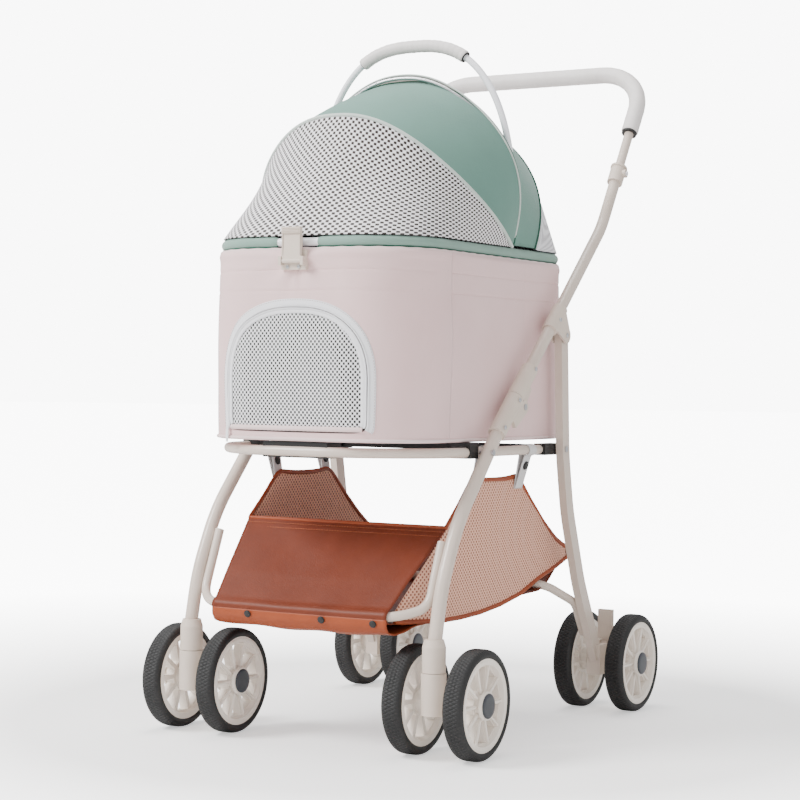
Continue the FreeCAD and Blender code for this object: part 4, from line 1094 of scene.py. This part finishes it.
@dataclass
class Basket:
    """The hanging basket: leatherette front, floor and back, mesh sides, bindings and straps."""

    half: float = 165.0

    def reach(self, back: np.ndarray) -> np.ndarray:
        """Half the basket's width at a place: narrower at the front crossbar."""
        return np.interp(back, [-58.0, 56.0], [self.half - 23.0, self.half])

    def top_edge(self, back: np.ndarray) -> np.ndarray:
        """Height of a side's top edge: two peaks at the straps with slack curves between."""
        known = np.array([[-46, 196], [0, 244], [56, 306], [92, 336], [118, 361], [134, 371], [150, 369], [175, 367.5],
                          [200, 367], [230, 367.4], [252, 369], [268, 371], [284, 360], [312, 335], [360, 297],
                          [402, 270], [436, 256]])
        return np.interp(back, known[:, 0], known[:, 1])

    def low_edge(self, back: np.ndarray) -> np.ndarray:
        """Height of a side's bottom edge, along the sagging floor."""
        known = np.array([[-58, 184], [-32, 180], [40, 176.5], [100, 176], [158, 178], [220, 184], [281, 194],
                          [344, 213], [400, 226], [440, 238]])
        return np.interp(back, known[:, 0], known[:, 1])

    def side_mesh(self, side: int) -> Surface:
        """A side panel between its edges, bellied outwards by a half sine each way."""
        back = np.linspace(-44.0, 437.0, 110)
        share = np.linspace(0.0, 1.0, 26)
        low, top = self.low_edge(back), self.top_edge(back)
        up = low[:, None] + (top - low)[:, None] * share
        belly = 3.5 * np.sin(np.pi * share)[None] * np.sin(np.pi * (back + 44) / 481)[:, None]
        ripple = 0.8 * np.sin(back / 24.0)[:, None] * share ** 2
        x = side * (self.reach(back)[:, None] - 1.5 + belly + ripple)
        y = np.broadcast_to(back[:, None], up.shape)
        return Surface(np.stack([x, y, up], axis=-1), flat=np.stack([y, up], axis=-1))

    def sheet_between(self, outline: np.ndarray, rows: int, sag: float) -> Surface:
        """A sheet across the basket along a side outline, sagging by a half sine across."""
        path = resample(np.column_stack([np.zeros(len(outline)), outline]), rows)
        across = np.linspace(-1.0, 1.0, 60)
        wave = 1.1 * np.sin(across * 9.0)[None] * np.sin(np.linspace(0, 5.0, rows))[:, None]
        fall = sag * (1 - across ** 2)[None] * np.sin(np.pi * np.linspace(0, 1, rows))[:, None]
        lateral = across * self.reach(path[:, 1])[:, None]
        y = np.broadcast_to(path[:, 1:2], lateral.shape)
        z = path[:, 2:3] - fall + wave * np.sin(np.pi * np.linspace(0, 1, rows))[:, None]
        return Surface(np.stack([lateral, y, z], axis=-1), flat=np.stack([lateral, z * 1.3], axis=-1))

    def build(self) -> None:
        """Make and dress the basket."""
        bar = np.array([-58.0, 190.0])
        turn = np.radians(np.linspace(-90.0, -250.0, 14))
        wrap = bar + 8.6 * np.stack([np.cos(turn), np.sin(turn)], axis=1)
        front = np.concatenate([wrap, [[-56, 201], [-20, 236], [20, 272], [56, 305]]])
        floor = np.array([[-57.0, 181.2], [-32, 180], [40, 176.5], [100, 176], [158, 178], [220, 184], [281, 194],
                          [344, 196], [375, 208], [400, 226], [440, 238], [436, 256]])
        roll = np.array([[-66.0, 188.0], [-66, 178], [-60, 169], [-46, 165], [-28, 168], [-6, 175], [20, 177]])
        pieces = [make_object("basket_front_panel", [self.sheet_between(front, 60, 3.0)], TERRACOTTA,
                              wall=1.6),
                  make_object("basket_front_roll", [self.sheet_between(roll, 30, 3.0)], BINDING, wall=1.6),
                  make_object("basket_floor", [self.sheet_between(floor, 60, 2.0)], TERRACOTTA, wall=1.6),
                  make_object("basket_side_left", [self.side_mesh(1)], TAN_MESH, wall=1.2),
                  make_object("basket_side_right", [self.side_mesh(-1)], TAN_MESH, wall=1.2)]
        put(pieces[0], None, "basket", slot="terracotta_leatherette")
        for piece in pieces[1:]:
            put(piece, None)
        bindings = []
        for side in (1, -1):
            back = np.linspace(56.0, 437.0, 180)
            x = np.full(180, side * (self.half - 1.5))
            bindings.append(tube(softened(np.stack([x, back, self.top_edge(back)], axis=1), 9), 3.6,
                                 np.array([1.0, 0.0, 0.0]), sides=10, squash=0.6))
            back = np.linspace(-46.0, 438.0, 160)
            bindings.append(tube(np.stack([side * (self.reach(back) - 1.0), back, self.low_edge(back) + 1.5],
                                          axis=1), 3.4, np.array([1.0, 0.0, 0.0]), sides=10))
        across = np.linspace(-self.half, self.half, 60)
        for back, up in ((56.0, 305.0), (436.0, 256.0)):
            bindings.append(tube(np.stack([across, np.full(60, back), np.full(60, up)], axis=1), 3.0,
                                 np.array([0.0, 0.4, 1.0]), sides=10))
        pieces.append(put(make_object("basket_bindings", bindings, BINDING), None))
        slant = unit(np.array([0.0, 0.66, 0.75]))
        out = np.broadcast_to(np.array([0.0, -0.72, 0.69]), (60, 3))
        seams = [beads(np.stack([across, np.full(60, 56.0), np.full(60, 305.0)], axis=1) - slant * down
                       + out * 2.2, out, 4.4, 2.8, 0.7) for down in (9.0, 17.0)]
        pieces.append(put(make_object("basket_stitches", seams, RUST_THREAD), None))
        for piece in pieces:
            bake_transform(piece)
        self.build_straps()
        self.build_snaps()

    def build_straps(self) -> None:
        """Flat webbing loops over the ring, hanging to the basket's peaks, with a snap each."""
        straps, snaps = [], []
        for side in (1, -1):
            for back in (134.0, 268.0):
                turn = np.radians(np.linspace(-95.0, 185.0, 40))
                loop = np.stack([side * (182.0 + 8.2 * np.cos(turn)), np.full(40, back), 409.0 + 8.2 * np.sin(turn)], axis=1)
                tail = np.linspace(loop[-1], np.array([side * (self.half - 0.5), back, 352.0]), 20)
                head = np.linspace(np.array([side * (self.half + 1.4), back, 352.0]), loop[0], 20)
                path = softened(np.concatenate([head, loop[1:], tail[1:]]), 3)
                along = tangents(path)
                face = unit(np.cross(along, np.array([0.0, 1.0, 0.0])))
                wide = np.linspace(-11.0, 11.0, 7)
                straps.append(Surface(path[:, None] + np.array([0.0, 1.0, 0.0]) * wide[None, :, None] + 0 * face[:, None]))
                snaps += [dome((side * x, back, 386.0), (side * way, 0, -0.3 * way), 6.4, 2.8)
                          for x, way in ((177.6, 1), (169.4, -1))]
        straps_piece = make_object("basket_straps_webbing", straps, WEBBING, wall=1.3)
        put(straps_piece, Body.SUPPORT, "basket_straps", slot="webbing")
        put(make_object("basket_strap_snaps", snaps, BLACK_PLASTIC), Body.SUPPORT)

    def build_snaps(self) -> None:
        """Three snaps that close the front panel's wrap round the crossbar."""
        heads = [dome((x, -67.6, 181.0), (0.0, -0.95, -0.3), 5.2, 2.4) for x in (-81.0, 40.0, 122.0)]
        put(make_object("basket_front_snaps", heads, BLACK_PLASTIC), Body.FRONT_FRAME)


# ------------------------------------------------------------------ wheels

@dataclass(frozen=True)
class Wheel:
    """One wheel's tread and hub cap, on its own body.

    The tyre's radius over its width is a rounded shoulder; crossed helical grooves, a
    power of the cosine of turn plus and minus width, are cut into its crown.
    """

    key: str
    x: float
    back: float
    outward: int
    radius: float = 75.0
    half: float = 15.0
    seat: float = 62.9

    def tyre(self) -> Surface:
        """The tyre with its crossed tread."""
        turn = np.linspace(0.0, 2 * np.pi, 720, endpoint=False)[:, None]
        across = np.linspace(-1.0, 1.0, 29)
        outline = self.radius - 6.5 * np.abs(across) ** 5.5
        lobes = 90
        first = 0.5 + 0.5 * np.cos(lobes * turn + 9.0 * across)
        second = 0.5 + 0.5 * np.cos(lobes * turn - 9.0 * across)
        grooves = np.maximum(first, second) ** 5 * 1.1 * np.clip(1.45 - np.abs(across) * 1.15, 0, 1)
        crown = outline - grooves
        side_out = np.array([self.seat, 65.5, 67.0])
        side_x = np.array([0.86, 1.0, 1.0])
        radii = np.concatenate([np.broadcast_to(side_out, (720, 3)), crown, np.broadcast_to(side_out[::-1], (720, 3))], axis=1)
        xs = np.concatenate([-side_x, across, side_x[::-1]]) * self.half
        points = np.stack([self.x + np.broadcast_to(xs, radii.shape), self.back + radii * np.sin(turn),
                           75.0 + radii * np.cos(turn)], axis=-1)
        return Surface(points, wrap_rows=True, wrap_columns=True)

    def trim(self) -> list[Surface]:
        """The hub cap, outside."""
        face = self.x + self.outward * 17.0
        axis = (self.outward, 0, 0)
        cap = turned([(16.8, -0.4), (16.8, 1.4), (16.0, 2.1), (12.0, 2.4), (6.0, 2.6), (0.6, 2.6)],
                     (face, self.back, 75.0), axis, 40)
        return [cap]

    def ridges(self) -> list[Surface | Repeated]:
        """Raised ring and raised spoke edges on the rim's outer face."""
        face = self.x + self.outward * 6.0
        rim = turned([(56.6, 5.0), (57.6, 7.6), (60.6, 7.6), (61.6, 5.0)], (face, self.back, 75.0),
                     (self.outward, 0, 0), 96, hollow=True)
        hub = turned([(17.2, 9.0), (17.2, 11.0), (19.0, 11.0), (20.0, 7.0)], (face, self.back, 75.0),
                     (self.outward, 0, 0), 64, hollow=True)
        spokes = []
        for angle in np.radians(np.arange(10) * 36.0 + 18.0):
            ray = np.array([0.0, math.sin(angle), math.cos(angle)])
            middle = np.array([face + self.outward * 1.6, self.back, 75.0])
            reach = np.linspace(17.0, 54.0, 10)[:, None]
            spokes.append(tube(middle + ray * reach, 2.2, np.array([1.0, 0.0, 0.0]), sides=8, squash=1.3))
        return [rim, hub] + spokes

    def build(self) -> None:
        """Make and dress the wheel."""
        body = f"wheel_{self.key}"
        put(make_object(f"tread_{self.key}", [self.tyre()], TYRE_RUBBER), body, f"tyre_{self.key}", slot="tyre_rubber")
        put(make_object(f"hub_cap_{self.key}", self.trim(), CHARCOAL_CAP), body)
        put(make_object(f"rim_ribs_{self.key}", self.ridges(), RIM_PLASTIC), body)


# ------------------------------------------------------------------ frame details

@dataclass
class FrameDetails:
    """Finishes on the frame's own parts, and the screws on them."""

    def dress_nodes(self, nodes: dict) -> None:
        """Give every kept CAD node its material."""
        painted = ("support_ring", "front_legs", "front_crossbar", "handle_outer_tubes", "rear_legs",
                   "rear_crossbar", "handle_bar")
        fittings = ("fold_hinge_lowers", "fold_hinge_uppers", "caster_sockets", "rear_leg_fittings",
                    "handle_collars", "rear_axle_brackets", "latch_base", "latch_lever", "brake_pedal_left",
                    "brake_pedal_right", "caster_fork_left", "caster_fork_right")
        steel = ("support_rivets", "fold_hinge_pins", "rear_axles", "canopy_bows_fixed", "canopy_bow_front",
                 "carrier_rim_tube")
        groups = ((painted, TUBE_PAINT), (fittings, FITTING), (steel, STEEL),
                  (("carry_hoop", "snap_button_left", "snap_button_right"), WHITE_PAINT),
                  (("ring_rear_bracket", "carrier_rests", "floor_board"), BLACK_PLASTIC),
                  (("grip_end_rings",), RING_RUBBER),
                  (tuple(name for name in nodes if name.startswith("rim_")), RIM_PLASTIC),
                  (tuple(name for name in nodes if name.startswith("tyre_")), TYRE_RUBBER))
        for names, finish in groups:
            for name in names:
                data = nodes[name].data
                data.materials.clear()
                data.materials.append(finish.material())

    def build(self) -> None:
        """Make the screws on both sides."""
        for side, word in ((1, "left"), (-1, "right")):
            x = side * 212.6
            lower = [dome((x, 134.7, 444.0), (side, 0, 0), 3.2, 1.8), dome((x, 178.6, 482.2), (side, 0, 0), 3.2, 1.8)]
            put(make_object(f"sleeve_screws_lower_{word}", lower, STEEL), Body.FRONT_FRAME)
            upper = [dome((x, 228.0, 527.0), (side, 0, 0), 3.2, 1.8)]
            put(make_object(f"sleeve_screws_upper_{word}", upper, STEEL), Body.HANDLE_FRAME)
            fitting = [dome((side * 211.0, 309.7, 600.6), (side, 0, 0), 3.2, 1.8),
                       dome((side * 211.0, 333.5, 578.3), (side, 0, 0), 3.4, 1.9)]
            put(make_object(f"fitting_screws_{word}", fitting, STEEL), Body.HANDLE_FRAME)


# ------------------------------------------------------------------ studio

@dataclass(frozen=True)
class Studio:
    """Camera, pale floor and soft light."""

    azimuth: float = 30.278
    elevation: float = 0.485
    roll: float = 0.802
    lens: float = 91.95
    surround: float = 0.9
    backdrop: float = 9.0
    floor_glow: float = 0.7

    def build_camera(self) -> None:
        """The camera, from its bearing, dip and roll."""
        azimuth, dip, roll = (math.radians(a) for a in (self.azimuth, self.elevation, self.roll))
        back = np.array([math.sin(azimuth) * math.cos(dip), -math.cos(azimuth) * math.cos(dip), math.sin(dip)])
        right = np.array([math.cos(azimuth), math.sin(azimuth), 0.0])
        up = np.cross(back, right)
        right, up = (math.cos(roll) * right + math.sin(roll) * up, -math.sin(roll) * right + math.cos(roll) * up)
        matrix = np.eye(4)
        matrix[:3, 0], matrix[:3, 1], matrix[:3, 2] = right, up, back
        matrix[:3, 3] = to_frame(np.array([1527.309, -2410.702, 504.573]))
        data = bpy.data.cameras.new("camera")
        data.lens, data.sensor_width = self.lens, 36.0
        data.clip_end = 200.0
        camera = bpy.data.objects.new("camera", data)
        camera.matrix_world = Matrix(matrix.tolist())
        bpy.context.scene.collection.objects.link(camera)
        bpy.context.scene.camera = camera

    def build_floor(self) -> None:
        """A wide round floor: rings of a disc."""
        turn = np.linspace(0.0, 2 * np.pi, 96, endpoint=False)
        ring = np.stack([np.cos(turn), np.sin(turn), np.zeros(96)], axis=1)
        reach = np.linspace(0.0, 1.0, 12)[:, None, None] ** 2 * 40000.0
        surface = Surface(ring * reach + np.array([0.0, ORIGIN_BACK, 0.0]), wrap_columns=True)
        floor = make_object("studio_floor", [surface], MouldedPlastic("studio_floor_paint", "#F6F5F4", "#F4F3F2", rough=0.8))
        tree = floor.data.materials[0].node_tree
        shader = next(node for node in tree.nodes if node.type == "BSDF_PRINCIPLED")
        shader.inputs["Emission Color"].default_value = (1.0, 1.0, 1.0, 1.0)
        seen = add_node(tree, "ShaderNodeLightPath")
        place = add_node(tree, "ShaderNodeTexCoord")
        away = add_node(tree, "ShaderNodeVectorMath", {"operation": "LENGTH"}, {0: place.outputs["Object"]})
        fade = add_node(tree, "ShaderNodeMapRange", {"From Min": 0.6, "From Max": 1.9, "To Min": self.floor_glow,
                                                     "To Max": self.backdrop}, {"Value": away.outputs["Value"]})
        glow = add_node(tree, "ShaderNodeMath", math_node("MULTIPLY"),
                        {0: seen.outputs["Is Camera Ray"], 1: fade.outputs[0]})
        tree.links.new(glow.outputs[0], shader.inputs["Emission Strength"])

    def build_light(self) -> None:
        """An even white surround and two large soft lamps."""
        world = bpy.data.worlds.new("studio")
        world.use_nodes = True
        tree = world.node_tree
        seen = add_node(tree, "ShaderNodeLightPath")
        strength = add_node(tree, "ShaderNodeMapRange", {"To Min": self.surround, "To Max": self.backdrop},
                            {"Value": seen.outputs["Is Camera Ray"]})
        background = tree.nodes["Background"]
        background.inputs["Color"].default_value = (1.0, 1.0, 1.0, 1.0)
        tree.links.new(strength.outputs[0], background.inputs["Strength"])
        bpy.context.scene.world = world
        for name, place, aim, size, power in (("key", (-2.2, -2.6, 3.2), (0, 0, 0.5), 1.6, 280.0),
                                              ("fill", (2.8, -2.0, 1.8), (0, 0, 0.5), 2.4, 25.0),
                                              ("top", (-0.4, 0.2, 3.4), (0, 0.1, 0.5), 1.6, 60.0)):
            lamp = bpy.data.lights.new(name, "AREA")
            lamp.size, lamp.energy = size, power
            thing = bpy.data.objects.new(name, lamp)
            toward = unit(np.array(place, dtype=float) - np.array(aim, dtype=float))
            right = unit(np.cross([0.0, 0.0, 1.0], toward))
            matrix = np.eye(4)
            matrix[:3, 0], matrix[:3, 1], matrix[:3, 2] = right, np.cross(toward, right), toward
            matrix[:3, 3] = place
            thing.matrix_world = Matrix(matrix.tolist())
            bpy.context.scene.collection.objects.link(thing)

    def build(self) -> None:
        """Set up the studio."""
        self.build_camera()
        self.build_floor()
        self.build_light()


def main() -> None:
    """Load the frame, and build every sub-assembly in order."""
    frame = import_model()
    Studio().build()
    details = FrameDetails()
    details.dress_nodes(frame["nodes"])
    details.build()
    Carrier().build()
    Door().build()
    Canopy().build()
    PushBarGrip().build()
    CarryGrip().build()
    Latch().build()
    Basket().build()
    for end, back, track, twin in (("front", 0.0, 198.9, 46.6), ("rear", 513.6, 200.1, 43.3)):
        for word, side in (("left", 1), ("right", -1)):
            for place, step in (("outer", twin), ("inner", -twin)):
                outward = side if place == "outer" else -side
                Wheel(f"{end}_{word}_{place}", side * (track + step), back, outward).build()


if __name__ == "__main__":
    main()
